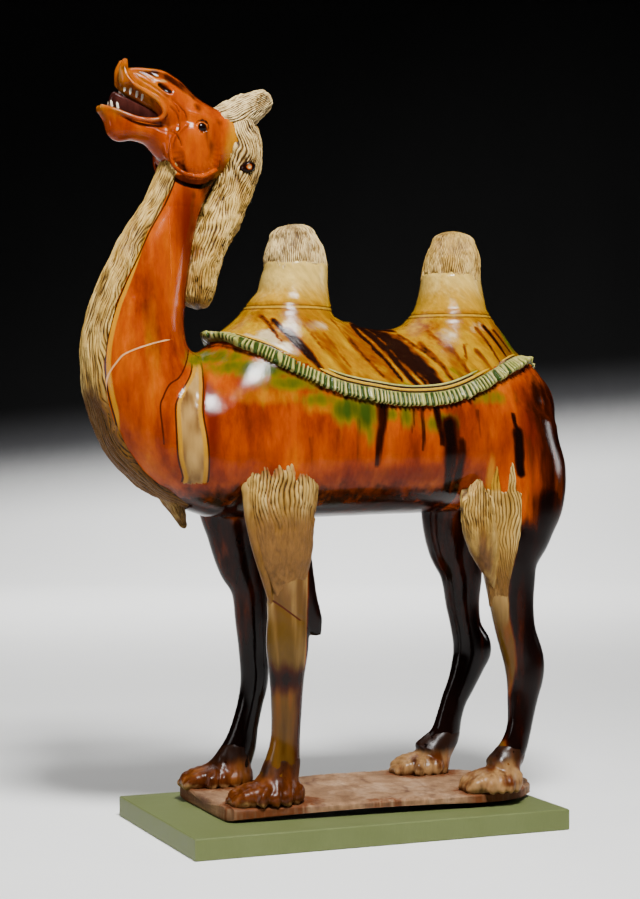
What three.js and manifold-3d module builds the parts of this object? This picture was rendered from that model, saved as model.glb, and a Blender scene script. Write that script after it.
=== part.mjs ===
// Standing two-humped camel in lead-glazed pottery, head raised and mouth open, fired in one piece
// with the slab under its feet. The slab stands on a painted board.
// Millimetres, +Z up. The camel looks towards -X and its left side faces -Y.
// The origin is at the middle of the board's underside.
import * as THREE from 'three';
import Module from 'manifold-3d';

const wasm = await Module();
wasm.setup();

// Driving sizes
const figureHeight = 823;
const slabThickness = 17;
const slabArch = 7;
const boardThickness = 24;
const boardEdgeBevel = 1.2;
const marginInFront = 62;
const marginBehind = 19;
const marginOnLeft = 44;
const marginOnRight = 34;
const seatGap = 0.3;
const pleatPitch = 10;
const pleatDepth = 2.6;
const frillThickness = 4;
const borderThickness = 2.6;
const lockDepth = 1.6;

// The canon: the figure stands 823 parts high above its slab, and every place and size in the
// tables below is in these parts, with z from the slab's top
const canonHeight = 823;
const part = figureHeight / canonHeight;
const slabTop = boardThickness + seatGap + slabThickness;

// The slab's plan in parts: x, the middle of its width, and half its width
const slabPlan = [
  [-163, 14, 82],
  [-150, 14, 89],
  [-70, 11, 92],
  [10, 9, 95],
  [90, 6, 97],
  [146, 4, 97],
  [172, 12, 84],
  [192, 24, 68],
  [206, 34, 50],
];
const slabEnds = slabPlan.map(([x]) => x);
const slabSides = slabPlan.flatMap(([, middle, half]) => [middle - half, middle + half]);

// The board reaches past the slab by its margins, and the figure is set out from the board's middle
const slabLength = (Math.max(...slabEnds) - Math.min(...slabEnds)) * part;
const slabWidth = (Math.max(...slabSides) - Math.min(...slabSides)) * part;
const boardLength = marginInFront + slabLength + marginBehind;
const boardWidth = marginOnLeft + slabWidth + marginOnRight;
const figureX = -boardLength / 2 + marginInFront - Math.min(...slabEnds) * part;
const figureY = -boardWidth / 2 + marginOnLeft - Math.min(...slabSides) * part;

// Feet: their lengths, how far they are let into the slab, and the cleft between their toes
const foreFootLength = 84;
const hindFootLength = 66;
const footSink = 4;
const toeCleft = 9;

// Every limb is a table of stations along its run, which goes back or down:
// x, y, z, then the half sizes over the run (back or up), under it (front or down) and to the sides
const trunkRun = [
  [-226, 0, 383, 50, 36, 40],
  [-205, 0, 388, 85, 54, 62],
  [-172, 0, 391, 105, 70, 80],
  [-148, 0, 392, 128, 76, 88],
  [-110, 0, 393, 147, 78, 94],
  [-60, 0, 393, 145, 79, 97],
  [0, 0, 395, 139, 80, 98],
  [50, 0, 395, 135, 79, 97],
  [110, 0, 398, 136, 80, 96],
  [170, 0, 403, 126, 78, 91],
  [206, 0, 405, 107, 75, 82],
  [233, 0, 402, 84, 70, 68],
  [252, 0, 396, 51, 50, 44],
];
const neckRun = [
  [-178, 0, 718, 32, 30, 26],
  [-192, 0, 691, 30, 26, 27],
  [-207, 0, 657, 33, 26, 29],
  [-225, 0, 617, 43, 34, 34],
  [-243, 0, 560, 53, 44, 41],
  [-248, 0, 527, 56, 51, 46],
  [-246, 0, 493, 60, 58, 53],
  [-236, 0, 458, 68, 62, 61],
  [-216, 0, 421, 76, 64, 70],
  [-188, 0, 398, 76, 62, 78],
  [-150, 0, 388, 76, 66, 82],
];
const frontHumpRun = [
  [-60, 0, 637, 25, 25, 24],
  [-58, 0, 619, 33, 33, 32],
  [-57, 0, 597, 37, 35, 34],
  [-58, 0, 583, 38, 38, 36],
  [-60, 0, 563, 43, 41, 41],
  [-63, 0, 548, 53, 50, 48],
  [-64, 0, 532, 68, 62, 57],
  [-62, 0, 512, 76, 76, 66],
  [-62, 0, 485, 80, 80, 75],
  [-62, 0, 450, 66, 66, 78],
];
const backHumpRun = [
  [146, 0, 637, 23, 24, 24],
  [145, 0, 619, 30, 31, 31],
  [143, 0, 597, 33, 34, 34],
  [142, 0, 575, 37, 37, 38],
  [142, 0, 554, 41, 44, 44],
  [142, 0, 540, 50, 54, 52],
  [142, 0, 518, 66, 70, 63],
  [142, 0, 490, 68, 78, 72],
  [140, 0, 450, 56, 66, 76],
];
const nearForelegRun = [
  [-103, -46, 405, 42, 40, 38],
  [-103, -60, 360, 37, 37, 31],
  [-101, -62, 315, 31, 32, 27],
  [-97, -62, 280, 28, 28, 24],
  [-91, -61, 248, 25, 25, 22],
  [-88, -60, 210, 22, 25, 19],
  [-88, -58, 175, 24, 26, 19],
  [-88, -56, 136, 19, 21, 16],
  [-88, -54, 100, 17, 18, 15],
  [-88, -52, 69, 16, 18, 14],
  [-91, -52, 42, 18, 22, 17],
  [-98, -53, 16, 20, 26, 22],
];
const farForelegRun = [
  [-108, 46, 405, 42, 40, 38],
  [-114, 58, 340, 34, 41, 30],
  [-107, 61, 295, 27, 34, 26],
  [-98, 62, 256, 24, 29, 22],
  [-90, 63, 228, 21, 21, 20],
  [-86, 64, 190, 19, 19, 18],
  [-83, 66, 150, 18, 17, 16],
  [-82, 67, 120, 17, 16, 15],
  [-86, 69, 94, 15, 15, 14],
  [-92, 70, 68, 16, 16, 14],
  [-98, 71, 44, 19, 20, 16],
  [-108, 72, 18, 20, 26, 20],
];
const nearHindlegRun = [
  [204, -44, 420, 48, 56, 38],
  [198, -56, 380, 63, 57, 40],
  [194, -62, 332, 63, 54, 37],
  [190, -64, 293, 49, 44, 31],
  [186, -65, 262, 36, 35, 26],
  [188, -65, 235, 30, 31, 22],
  [191, -66, 205, 25, 28, 18],
  [196, -66, 178, 23, 26, 17],
  [203, -66, 148, 26, 24, 17],
  [205, -67, 128, 24, 23, 16],
  [202, -68, 104, 19, 19, 14],
  [197, -70, 70, 14, 15, 13],
  [189, -71, 46, 15, 17, 14],
  [176, -72, 22, 16, 24, 20],
];
const farHindlegRun = [
  [200, 44, 420, 48, 56, 38],
  [190, 56, 370, 54, 58, 40],
  [180, 60, 312, 42, 47, 32],
  [179, 61, 274, 31, 37, 27],
  [186, 61, 240, 27, 27, 22],
  [188, 62, 203, 22, 21, 18],
  [193, 62, 174, 20, 19, 17],
  [199, 62, 148, 28, 22, 17],
  [195, 62, 128, 23, 20, 16],
  [187, 61, 106, 18, 18, 14],
  [177, 61, 86, 16, 16, 13],
  [170, 60, 66, 16, 16, 13],
  [163, 60, 42, 18, 19, 15],
  [148, 60, 20, 18, 26, 20],
];

// Head: the skull and upper jaw in one run from lip to nape, the lower jaw from lip to hinge
const skullRun = [
  [-264, 0, 803, 10, 11, 12],
  [-256, 0, 802, 14, 12, 17],
  [-244, 0, 798, 20, 12, 20],
  [-230, 0, 790, 29, 14, 23],
  [-215, 0, 778, 32, 20, 27],
  [-195, 0, 765, 28, 37, 31],
  [-170, 0, 752, 27, 43, 34],
  [-145, 0, 743, 31, 44, 32],
  [-122, 0, 732, 34, 34, 25],
];
const jawRun = [
  [-288, 0, 767, 5, 4, 8],
  [-277, 0, 762, 7, 11, 13],
  [-264, 0, 754, 7, 21, 16],
  [-247, 0, 749, 8, 14, 17],
  [-228, 0, 745, 10, 16, 20],
  [-208, 0, 734, 20, 22, 25],
  [-186, 0, 722, 26, 22, 28],
];
const tongueRun = [
  [-272, 0, 784, 4, 11, 7],
  [-258, 0, 777, 5, 16, 10],
  [-238, 0, 768, 6, 16, 12],
  [-218, 0, 758, 8, 14, 14],
];
const palateRun = [
  [-262, 0, 796, 6, 8, 8],
  [-246, 0, 786, 6, 10, 11],
  [-228, 0, 774, 8, 10, 12],
  [-214, 0, 764, 8, 10, 12],
];
const lipRun = [
  [-261, 6, 821, 3, 4, 4],
  [-263, 8, 811, 5, 6, 7],
  [-260, 9, 800, 8, 9, 9],
];
const cheekRun = [
  [-212, 17, 724, 18, 14, 9],
  [-200, 20, 727, 28, 29, 13],
  [-182, 21, 728, 30, 34, 15],
  [-164, 18, 728, 24, 27, 12],
];
const browRun = [
  [-206, 18, 768, 4, 5, 6],
  [-192, 24, 765, 5, 6, 7],
  [-176, 28, 761, 5, 5, 6],
  [-163, 28, 752, 4, 4, 5],
];
const eyeRun = [
  [-187, 28, 750, 5, 5, 6],
  [-181, 30, 750, 7, 7, 7],
  [-175, 30, 750, 5, 5, 6],
];
const earRun = [
  [-136, 26, 706, 6, 6, 7],
  [-127, 31, 708, 8, 8, 8],
  [-117, 32, 713, 4, 4, 5],
];
const crestRun = [
  [-163, 0, 762, 11, 12, 15],
  [-142, 0, 766, 16, 20, 26],
  [-118, 0, 777, 17, 20, 26],
  [-99, 0, 787, 13, 13, 19],
];
const napeRun = [
  [-126, 0, 758, 13, 18, 27],
  [-121, 0, 738, 19, 22, 32],
  [-122, 0, 712, 19, 24, 33],
  [-131, 0, 684, 18, 24, 32],
  [-145, 0, 650, 18, 26, 32],
  [-160, 0, 612, 11, 26, 31],
  [-171, 0, 566, 10, 23, 27],
];
const elbowTuftRun = [
  [-82, 64, 300, 14, 10, 13],
  [-75, 65, 262, 13, 12, 12],
  [-69, 65, 230, 12, 14, 10],
  [-60, 64, 203, 10, 14, 8],
  [-54, 63, 188, 4, 8, 5],
];
const forelegHairRun = [
  [-103, 72, 396, 38, 38, 18],
  [-103, 77, 360, 42, 43, 19],
  [-103, 78, 322, 39, 40, 19],
  [-99, 77, 288, 33, 35, 17],
  [-93, 74, 252, 27, 30, 15],
  [-88, 70, 212, 20, 22, 13],
];
const thighHairRun = [
  [142, 72, 368, 14, 10, 14],
  [136, 77, 338, 20, 17, 17],
  [139, 78, 302, 22, 18, 17],
  [151, 77, 262, 22, 16, 14],
  [168, 74, 224, 14, 12, 10],
];
const farForelegHairRun = [
  [-106, 72, 396, 34, 34, 18],
  [-106, 77, 360, 34, 31, 18],
  [-106, 78, 322, 32, 27, 17],
  [-101, 77, 288, 27, 24, 15],
  [-93, 75, 252, 23, 21, 13],
  [-88, 72, 212, 18, 18, 12],
];
const farThighHairRun = [
  [154, 72, 360, 12, 6, 12],
  [156, 76, 330, 16, 11, 15],
  [162, 77, 296, 18, 9, 15],
  [170, 76, 256, 16, 7, 13],
  [178, 74, 222, 12, 6, 10],
];
const thighGrooveRun = [
  [184, 100, 424, 2, 2, 6],
  [182, 102, 390, 3, 3, 8],
  [182, 102, 340, 3, 3, 8],
  [184, 100, 300, 2, 2, 6],
];
const chestTuftRun = [
  [-232, 0, 356, 12, 7, 28],
  [-213, 0, 341, 13, 6, 24],
  [-200, 0, 325, 10, 6, 15],
  [-193, 0, 311, 5, 4, 6],
];
const tailRun = [
  [256, 0, 440, 8, 8, 9],
  [269, 0, 408, 8, 8, 8],
  [275, 3, 370, 8, 8, 8],
  [272, 8, 334, 9, 9, 10],
  [262, 12, 304, 5, 5, 6],
];

// The saddle cloth's hem, as the frill's upper edge: x, and the share of the way up the flank there
const hemLine = [
  [-150, 1],
  [-143, 0.97],
  [-128, 0.855],
  [-102, 0.73],
  [-70, 0.63],
  [-34, 0.53],
  [12, 0.475],
  [61, 0.455],
  [100, 0.47],
  [140, 0.57],
  [182, 0.74],
  [214, 0.93],
  [224, 0.985],
  [232, 1],
];
const frillDrop = 16;
const bandRoot = 5;

// Where limbs meet, edges shorter than this are drawn together, unless a face would turn too far
const shortestEdge = 2;
const leastTurn = 0.6;

// The throat's strip of hair stands this far before the neck, on this share of its girth
const stripRise = 6;
const stripShare = 0.3;

// Smooth value of a table at t from 0 to 1
function tableCurves(rows) {
  const path = rows.map(([x, y, z]) => new THREE.Vector3(x, y, z));
  const sizes = rows.map(([, , , over, under, side]) => new THREE.Vector3(over, under, side));
  return {
    path: new THREE.CatmullRomCurve3(path, false, 'catmullrom', 0.5),
    sizes: new THREE.CatmullRomCurve3(sizes, false, 'catmullrom', 0.5),
  };
}

// Section of a run at t: its middle, its three directions and its half sizes
function sectionAt(curves, t) {
  const along = curves.path.getTangent(t);
  const sideways = new THREE.Vector3(0, 1, 0).addScaledVector(along, -along.y).normalize();
  const over = new THREE.Vector3().crossVectors(along, sideways);
  const half = curves.sizes.getPoint(t);
  return { middle: curves.path.getPoint(t), along, sideways, over, half };
}

// Point on a section: angle 0 is over the run, a quarter turn is its +Y side
function sectionPoint(section, angle, look) {
  const { scale = 1, slide = 0, squareness = 2, lift = 0 } = look;
  const power = 2 / squareness;
  const cos = Math.sign(Math.cos(angle)) * Math.abs(Math.cos(angle)) ** power;
  const sin = Math.sign(Math.sin(angle)) * Math.abs(Math.sin(angle)) ** power;
  const depth = cos > 0 ? section.half.x : section.half.y;
  const rise = section.over.clone().multiplyScalar(cos * (depth * scale + lift));
  const reach = section.sideways.clone().multiplyScalar(sin * (section.half.z * scale + lift));
  return section.middle.clone().add(rise).add(reach).addScaledVector(section.along, slide);
}

// Points in parts and triangles to a solid at real size, in its place on the board
function toSolid(points, triangles) {
  const place = new THREE.Vector3(figureX, figureY, slabTop);
  const placed = points.flatMap((p) => p.clone().multiplyScalar(part).add(place).toArray());
  const vertProperties = new Float32Array(placed);
  const mesh = new wasm.Mesh({ numProp: 3, vertProperties, triVerts: new Uint32Array(triangles) });
  return new wasm.Manifold(mesh);
}

// Closed solid from rings of as many points each, and a point at each end
function skin(rings, startPoint, endPoint) {
  const sides = rings[0].length;
  const points = [startPoint, ...rings.flat(), endPoint];
  const last = points.length - 1;
  const lastRing = 1 + (rings.length - 1) * sides;
  const triangles = [];
  for (let i = 0; i < sides; i += 1) {
    const next = (i + 1) % sides;
    triangles.push(0, 1 + i, 1 + next);
    for (let ring = 0; ring < rings.length - 1; ring += 1) {
      const a = 1 + ring * sides + i;
      const b = 1 + ring * sides + next;
      triangles.push(a, b + sides, b, a, a + sides, b + sides);
    }
    triangles.push(last, lastRing + next, lastRing + i);
  }
  return toSolid(points, triangles);
}

// Closed ring-shaped solid from sections of as many points each, joined end to end
function hoop(sections) {
  const count = sections[0].length;
  const triangles = [];
  for (let ring = 0; ring < sections.length; ring += 1) {
    const here = ring * count;
    const there = ((ring + 1) % sections.length) * count;
    for (let i = 0; i < count; i += 1) {
      const next = (i + 1) % count;
      triangles.push(here + i, there + next, here + next, here + i, there + i, there + next);
    }
  }
  return toSolid(sections.flat(), triangles);
}

// Limb: a table's sections joined into one closed solid with rounded ends
function limb(rows, look) {
  const { sides, steps, startCap = 8, endCap = 8, capRings = 1, squareness = 2, carve } = look;
  const curves = tableCurves(rows);
  const ringAt = (t, scale, slide) => {
    const section = sectionAt(curves, t);
    return Array.from({ length: sides }, (unused, i) => {
      const angle = (i / sides) * 2 * Math.PI;
      const lift = carve ? carve(t, i) * scale : 0;
      return sectionPoint(section, angle, { scale, slide, squareness, lift });
    });
  };
  const rings = [];
  for (let i = 1; i <= capRings; i += 1) {
    const turn = (i / (capRings + 1)) * Math.PI / 2;
    rings.push(ringAt(0, Math.sin(turn), -startCap * Math.cos(turn)));
  }
  for (let i = 0; i <= steps; i += 1) {
    rings.push(ringAt(i / steps, 1, 0));
  }
  for (let i = 1; i <= capRings; i += 1) {
    const turn = (i / (capRings + 1)) * Math.PI / 2;
    rings.push(ringAt(1, Math.cos(turn), endCap * Math.sin(turn)));
  }
  const first = sectionAt(curves, 0);
  const final = sectionAt(curves, 1);
  const startPoint = first.middle.addScaledVector(first.along, -startCap);
  const endPoint = final.middle.addScaledVector(final.along, endCap);
  return skin(rings, startPoint, endPoint);
}

// The same table on the camel's left side, or on its right
const onLeft = (rows) => rows.map(([x, y, ...rest]) => [x, -y, ...rest]);
const bothSides = (rows, look) => [limb(rows, look), limb(onLeft(rows), look)];

// Locks of hair: every second line of points along a run stands proud
const locks = (t, i) => (i % 2 === 0 ? lockDepth : -lockDepth);

// A hump's top wears a close cap of hair
const hairCapEnd = 0.22;
const hairCap = (t, i) => (t < hairCapEnd ? locks(t, i) : 0);

// The neck has locks on a raised strip down its throat, and is plain elsewhere
const neckSides = 22;
function throatStrip(t, i) {
  const fromThroat = Math.abs(i - neckSides / 2) / neckSides;
  return fromThroat < stripShare / 2 ? stripRise + locks(t, i) : 0;
}

// Foot: a broad pad, cleft into two toes in front
function foot(x, y, length) {
  const cleft = (t, i) => (i === 0 ? -toeCleft * Math.max(0, 1 - 1.6 * t) : 0);
  return limb([
    [x - 0.5 * length, y, 6, 5, 6 + footSink, 17],
    [x - 0.35 * length, y, 8, 13, 8 + footSink, 24],
    [x - 0.12 * length, y, 9, 17, 9 + footSink, 27],
    [x + 0.15 * length, y, 9, 18, 9 + footSink, 27],
    [x + 0.36 * length, y, 8, 14, 8 + footSink, 21],
  ], { sides: 12, steps: 4, endCap: 10, carve: cleft });
}

// The fired slab under the feet, its underside warped upward between its ends
function slab() {
  const half = slabThickness / part / 2;
  const rows = slabPlan.map(([x, middle, halfWidth]) => {
    const share = (x - slabEnds[0]) / (slabLength / part);
    const rise = (slabArch / part) * Math.sin(share * Math.PI);
    return [x, middle, -half, half, half - rise, halfWidth];
  });
  return limb(rows, { sides: 12, steps: 10, startCap: 3, endCap: 3, squareness: 7 });
}

// The trunk's flank at a place along it: its middle, half height and half width there
function flankAt(x) {
  const curves = tableCurves(trunkRun);
  const samples = 240;
  const places = Array.from({ length: samples + 1 }, (unused, i) => curves.path.getPoint(i / samples));
  const i = Math.max(1, places.findIndex((place) => place.x >= x));
  const t = (i - 1 + (x - places[i - 1].x) / (places[i].x - places[i - 1].x)) / samples;
  return { middle: curves.path.getPoint(t), half: curves.sizes.getPoint(t) };
}

// Points of the hem on the camel's back, right round, at equal spacing
function hemPoints(count) {
  const line = new THREE.SplineCurve(hemLine.map(([x, share]) => new THREE.Vector2(x, share)));
  const fine = 160;
  const right = [];
  for (let i = 0; i <= fine; i += 1) {
    const place = line.getPoint((1 - Math.cos((i / fine) * Math.PI)) / 2);
    const { middle, half } = flankAt(place.x);
    const rise = Math.min(1, place.y);
    const reach = half.z * Math.sqrt(1 - rise * rise);
    right.push(new THREE.Vector3(place.x, reach, middle.z + half.x * rise));
  }
  const left = right.slice(1, -1).reverse().map((p) => new THREE.Vector3(p.x, -p.y, p.z));
  const loop = new THREE.CatmullRomCurve3([...right, ...left], true, 'catmullrom', 0.5);
  loop.arcLengthDivisions = 2000;
  return loop.getSpacedPoints(count).slice(0, count);
}

// Outward and downward directions of the back's skin at a point of the hem, which runs back on the
// camel's right side and forward on its left
function hemDirections(points, i) {
  const count = points.length;
  const along = points[(i + 1) % count].clone().sub(points[(i + count - 1) % count]).normalize();
  const { middle, half } = flankAt(points[i].x);
  const outY = points[i].y / (half.z * half.z);
  const outZ = (points[i].z - middle.z) / (half.x * half.x);
  const out = new THREE.Vector3(0, outY, outZ).normalize();
  out.addScaledVector(along, -out.dot(along)).normalize();
  return { out, down: new THREE.Vector3().crossVectors(out, along) };
}

// A band round the back along the hem: hidden above, proud by the given amount below
function hemBand(count, top, bottom, proudAt) {
  const points = hemPoints(count);
  const sections = points.map((point, i) => {
    const { out, down } = hemDirections(points, i);
    const at = (below, proud) => point.clone().addScaledVector(down, below).addScaledVector(out, proud);
    return [at(top, -bandRoot), at(bottom, proudAt(i)), at(bottom - 2, -bandRoot)];
  });
  return hoop(sections);
}

// The cloth's edge: a plain raised border and the pleated frill hanging from it
function saddleCloth() {
  const hemLength = new THREE.CatmullRomCurve3(hemPoints(200), true).getLength() * part;
  const pleats = Math.round(hemLength / pleatPitch);
  const pleat = (i) => frillThickness + (i % 2 === 0 ? pleatDepth : 0);
  return [hemBand(2 * pleats, 1, frillDrop, pleat), hemBand(48, -5, 2, () => borderThickness)];
}

const body = [
  limb(trunkRun, { sides: 22, steps: 14, startCap: 14, endCap: 12, capRings: 2 }),
  limb(neckRun, { sides: neckSides, steps: 12, carve: throatStrip }),
  limb(frontHumpRun, { sides: 14, steps: 9, startCap: 13, carve: hairCap }),
  limb(backHumpRun, { sides: 14, steps: 9, startCap: 12, carve: hairCap }),
  limb(nearForelegRun, { sides: 10, steps: 12 }),
  limb(farForelegRun, { sides: 10, steps: 12 }),
  limb(nearHindlegRun, { sides: 10, steps: 13 }),
  limb(farHindlegRun, { sides: 10, steps: 13 }),
  foot(-108, -54, foreFootLength),
  foot(-122, 74, foreFootLength),
  foot(160, -76, hindFootLength),
  foot(134, 62, hindFootLength),
  limb(tailRun, { sides: 8, steps: 7 }),
  slab(),
];

const head = [
  limb(skullRun, { sides: 14, steps: 9, startCap: 4, endCap: 16 }),
  limb(jawRun, { sides: 10, steps: 7, startCap: 4 }),
  limb(tongueRun, { sides: 8, steps: 3, startCap: 4 }),
  limb(palateRun, { sides: 8, steps: 3, startCap: 3 }),
  ...bothSides(lipRun, { sides: 7, steps: 2, startCap: 4 }),
  ...bothSides(cheekRun, { sides: 12, steps: 3 }),
  ...bothSides(browRun, { sides: 6, steps: 3, startCap: 3, endCap: 3 }),
  ...bothSides(eyeRun, { sides: 7, steps: 2, startCap: 2, endCap: 2 }),
  ...bothSides(earRun, { sides: 7, steps: 2, startCap: 4, endCap: 3 }),
];

const hair = [
  limb(chestTuftRun, { sides: 12, steps: 4, carve: locks }),
  limb(crestRun, { sides: 14, steps: 4, startCap: 6, endCap: 12, carve: locks }),
  limb(napeRun, { sides: 16, steps: 6, endCap: 17, carve: locks }),
  ...bothSides(elbowTuftRun, { sides: 8, steps: 5, endCap: 4 }),
  limb(onLeft(forelegHairRun), { sides: 16, steps: 5, endCap: 14, carve: locks }),
  limb(farForelegHairRun, { sides: 16, steps: 5, endCap: 14, carve: locks }),
  limb(onLeft(thighHairRun), { sides: 12, steps: 4, carve: locks }),
  limb(farThighHairRun, { sides: 12, steps: 4, carve: locks }),
];

let figure = body[0];
for (const piece of [...body.slice(1), ...head, ...hair, ...saddleCloth()]) {
  figure = figure.add(piece);
}
for (const groove of bothSides(thighGrooveRun, { sides: 6, steps: 3 })) {
  figure = figure.subtract(groove);
}

// A solid's points, its triangles, and the triangles round each point
function readSkin(solid) {
  const { vertProperties, triVerts } = solid.getMesh();
  const points = [];
  for (let i = 0; i < vertProperties.length; i += 3) {
    points.push(new THREE.Vector3(...vertProperties.slice(i, i + 3)));
  }
  const triangles = [];
  const around = points.map(() => new Set());
  for (let i = 0; i < triVerts.length; i += 3) {
    const corners = [...triVerts.slice(i, i + 3)];
    corners.forEach((corner) => around[corner].add(triangles.length));
    triangles.push(corners);
  }
  return { points, triangles, around };
}

// True where an edge can be drawn together to a middle point with the skin still closed and unfolded
function canDrawTogether(skinOf, a, b, middle) {
  const { points, triangles, around } = skinOf;
  const shared = [...around[a]].filter((t) => around[b].has(t));
  const ringA = new Set([...around[a]].flatMap((t) => triangles[t]));
  const ringB = new Set([...around[b]].flatMap((t) => triangles[t]));
  const common = [...ringA].filter((p) => ringB.has(p) && p !== a && p !== b);
  if (shared.length !== 2 || common.length !== 2) {
    return false;
  }
  return [...around[a], ...around[b]].every((t) => {
    if (shared.includes(t)) {
      return true;
    }
    const before = triangles[t].map((p) => points[p]);
    const after = triangles[t].map((p) => (p === a || p === b ? middle : points[p]));
    const oldFace = new THREE.Triangle(...before).getNormal(new THREE.Vector3());
    const newFace = new THREE.Triangle(...after).getNormal(new THREE.Vector3());
    return oldFace.lengthSq() < 0.5 || oldFace.dot(newFace) > leastTurn;
  });
}

// Draws together every edge that is shorter than the limit, so no slivers stay where limbs meet
function drawEdgesTogether(skinOf, limit) {
  const { points, triangles, around } = skinOf;
  const edges = [];
  triangles.forEach((corners) => corners?.forEach((a, i) => {
    const b = corners[(i + 1) % 3];
    const length = points[a].distanceTo(points[b]);
    if (a < b && length < limit) {
      edges.push({ a, b, length });
    }
  }));
  edges.sort((one, other) => one.length - other.length);
  const moved = new Set();
  for (const { a, b } of edges) {
    const middle = points[a].clone().lerp(points[b], 0.5);
    if (moved.has(a) || moved.has(b) || !canDrawTogether(skinOf, a, b, middle)) {
      continue;
    }
    for (const t of around[b]) {
      if (around[a].has(t)) {
        triangles[t].forEach((corner) => corner !== b && around[corner].delete(t));
        triangles[t] = null;
      } else {
        triangles[t] = triangles[t].map((corner) => (corner === b ? a : corner));
        around[a].add(t);
      }
    }
    around[b].clear();
    points[a] = middle;
    moved.add(a).add(b);
  }
  return moved.size;
}

// Solid to a named mesh, its short edges drawn together
function toMesh(solid, name, color, roughness) {
  const skinOf = readSkin(solid);
  while (drawEdgesTogether(skinOf, shortestEdge * part) > 0);
  const corners = skinOf.triangles.filter((t) => t).flat();
  const positions = corners.flatMap((corner) => skinOf.points[corner].toArray());
  const geometry = new THREE.BufferGeometry();
  geometry.setAttribute('position', new THREE.Float32BufferAttribute(positions, 3));
  geometry.computeVertexNormals();
  const material = new THREE.MeshStandardMaterial({ color, roughness, metalness: 0 });
  const mesh = new THREE.Mesh(geometry, material);
  mesh.name = name;
  return mesh;
}

// Board under the slab, its edges lightly bevelled
function board() {
  const halfLength = boardLength / 2 - boardEdgeBevel;
  const halfWidth = boardWidth / 2 - boardEdgeBevel;
  const outline = new THREE.Shape();
  outline.moveTo(-halfLength, -halfWidth);
  outline.lineTo(halfLength, -halfWidth);
  outline.lineTo(halfLength, halfWidth);
  outline.lineTo(-halfLength, halfWidth);
  outline.closePath();
  const geometry = new THREE.ExtrudeGeometry(outline, {
    depth: boardThickness - 2 * boardEdgeBevel,
    bevelThickness: boardEdgeBevel,
    bevelSize: boardEdgeBevel,
    bevelSegments: 1,
  });
  geometry.translate(0, 0, boardEdgeBevel);
  const material = new THREE.MeshStandardMaterial({ color: 0x7d8558, roughness: 0.6, metalness: 0 });
  const mesh = new THREE.Mesh(geometry, material);
  mesh.name = 'plinth_board';
  return mesh;
}

const camel = new THREE.Group();
camel.add(toMesh(figure, 'camel_figure', 0xa4521a, 0.25));
camel.add(board());

export default camel;
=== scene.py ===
"""Standing two-humped camel in three-colour lead glaze, on its fired slab and a painted board."""

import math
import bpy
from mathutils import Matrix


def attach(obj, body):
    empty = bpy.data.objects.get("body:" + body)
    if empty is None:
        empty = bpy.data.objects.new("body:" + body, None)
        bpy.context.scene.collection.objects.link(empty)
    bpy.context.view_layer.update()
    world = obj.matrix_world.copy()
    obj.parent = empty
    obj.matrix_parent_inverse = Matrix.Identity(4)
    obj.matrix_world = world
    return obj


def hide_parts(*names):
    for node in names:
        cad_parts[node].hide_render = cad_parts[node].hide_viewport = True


bl_info = {
    "name": "Sancai camel figure",
    "version": (1, 0, 0),
    "blender": (4, 5, 0),
    "location": "3D View > Sidebar > Camel",
    "description": "Glazed pottery camel with combed hair and a saddle cloth, on a painted board",
    "category": "Add Mesh",
}

import bpy
import numpy as np
import openvdb
from mathutils import Vector

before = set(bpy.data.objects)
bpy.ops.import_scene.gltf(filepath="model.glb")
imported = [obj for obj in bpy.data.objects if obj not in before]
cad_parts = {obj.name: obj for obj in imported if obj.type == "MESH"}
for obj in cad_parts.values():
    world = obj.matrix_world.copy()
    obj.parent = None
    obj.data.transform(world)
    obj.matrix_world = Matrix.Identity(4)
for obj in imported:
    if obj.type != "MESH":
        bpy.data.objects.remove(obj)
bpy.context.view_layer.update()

# Millimetres to metres, and the height of the slab's top over the board's underside.
MM = 0.001
SLAB_TOP = 41.3
NO_TRIANGLES = np.zeros((0, 3), int)
# A loose part of a clay skin with fewer points is a speck.
SPECK = 100
# The distance at which a line of the glaze no longer shows.
FAR_OFF = 50
# How much further back the right side wears its patches and runs.
SHIFT_BACK = 22

# Every limb is a table of stations along its run, which goes back or down, in millimetres from the
# slab's top: x, y, z, then the half sizes over the run (back or up), under it and to the sides.
TRUNK = [
    (-226, 0, 383, 50, 36, 40),
    (-205, 0, 388, 85, 54, 62),
    (-172, 0, 391, 105, 70, 80),
    (-148, 0, 392, 128, 76, 88),
    (-110, 0, 393, 147, 78, 94),
    (-60, 0, 393, 145, 79, 97),
    (0, 0, 395, 139, 80, 98),
    (50, 0, 395, 135, 79, 97),
    (110, 0, 398, 136, 80, 96),
    (170, 0, 403, 126, 78, 91),
    (206, 0, 405, 107, 75, 82),
    (233, 0, 402, 84, 70, 68),
    (252, 0, 396, 51, 50, 44),
]
NECK = [
    (-178, 0, 718, 32, 30, 26),
    (-192, 0, 691, 30, 26, 27),
    (-207, 0, 657, 33, 26, 29),
    (-225, 0, 617, 43, 34, 34),
    (-243, 0, 560, 53, 44, 41),
    (-248, 0, 527, 56, 51, 46),
    (-246, 0, 493, 60, 58, 53),
    (-236, 0, 458, 68, 62, 61),
    (-216, 0, 421, 76, 64, 70),
    (-188, 0, 398, 76, 62, 78),
    (-150, 0, 388, 76, 66, 82),
]
FRONT_HUMP = [
    (-60, 0, 637, 25, 25, 24),
    (-58, 0, 619, 33, 33, 32),
    (-57, 0, 597, 37, 35, 34),
    (-58, 0, 583, 38, 38, 36),
    (-60, 0, 563, 43, 41, 41),
    (-63, 0, 548, 53, 50, 48),
    (-64, 0, 532, 68, 62, 57),
    (-62, 0, 512, 76, 76, 66),
    (-62, 0, 485, 80, 80, 75),
    (-62, 0, 450, 66, 66, 78),
]
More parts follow.
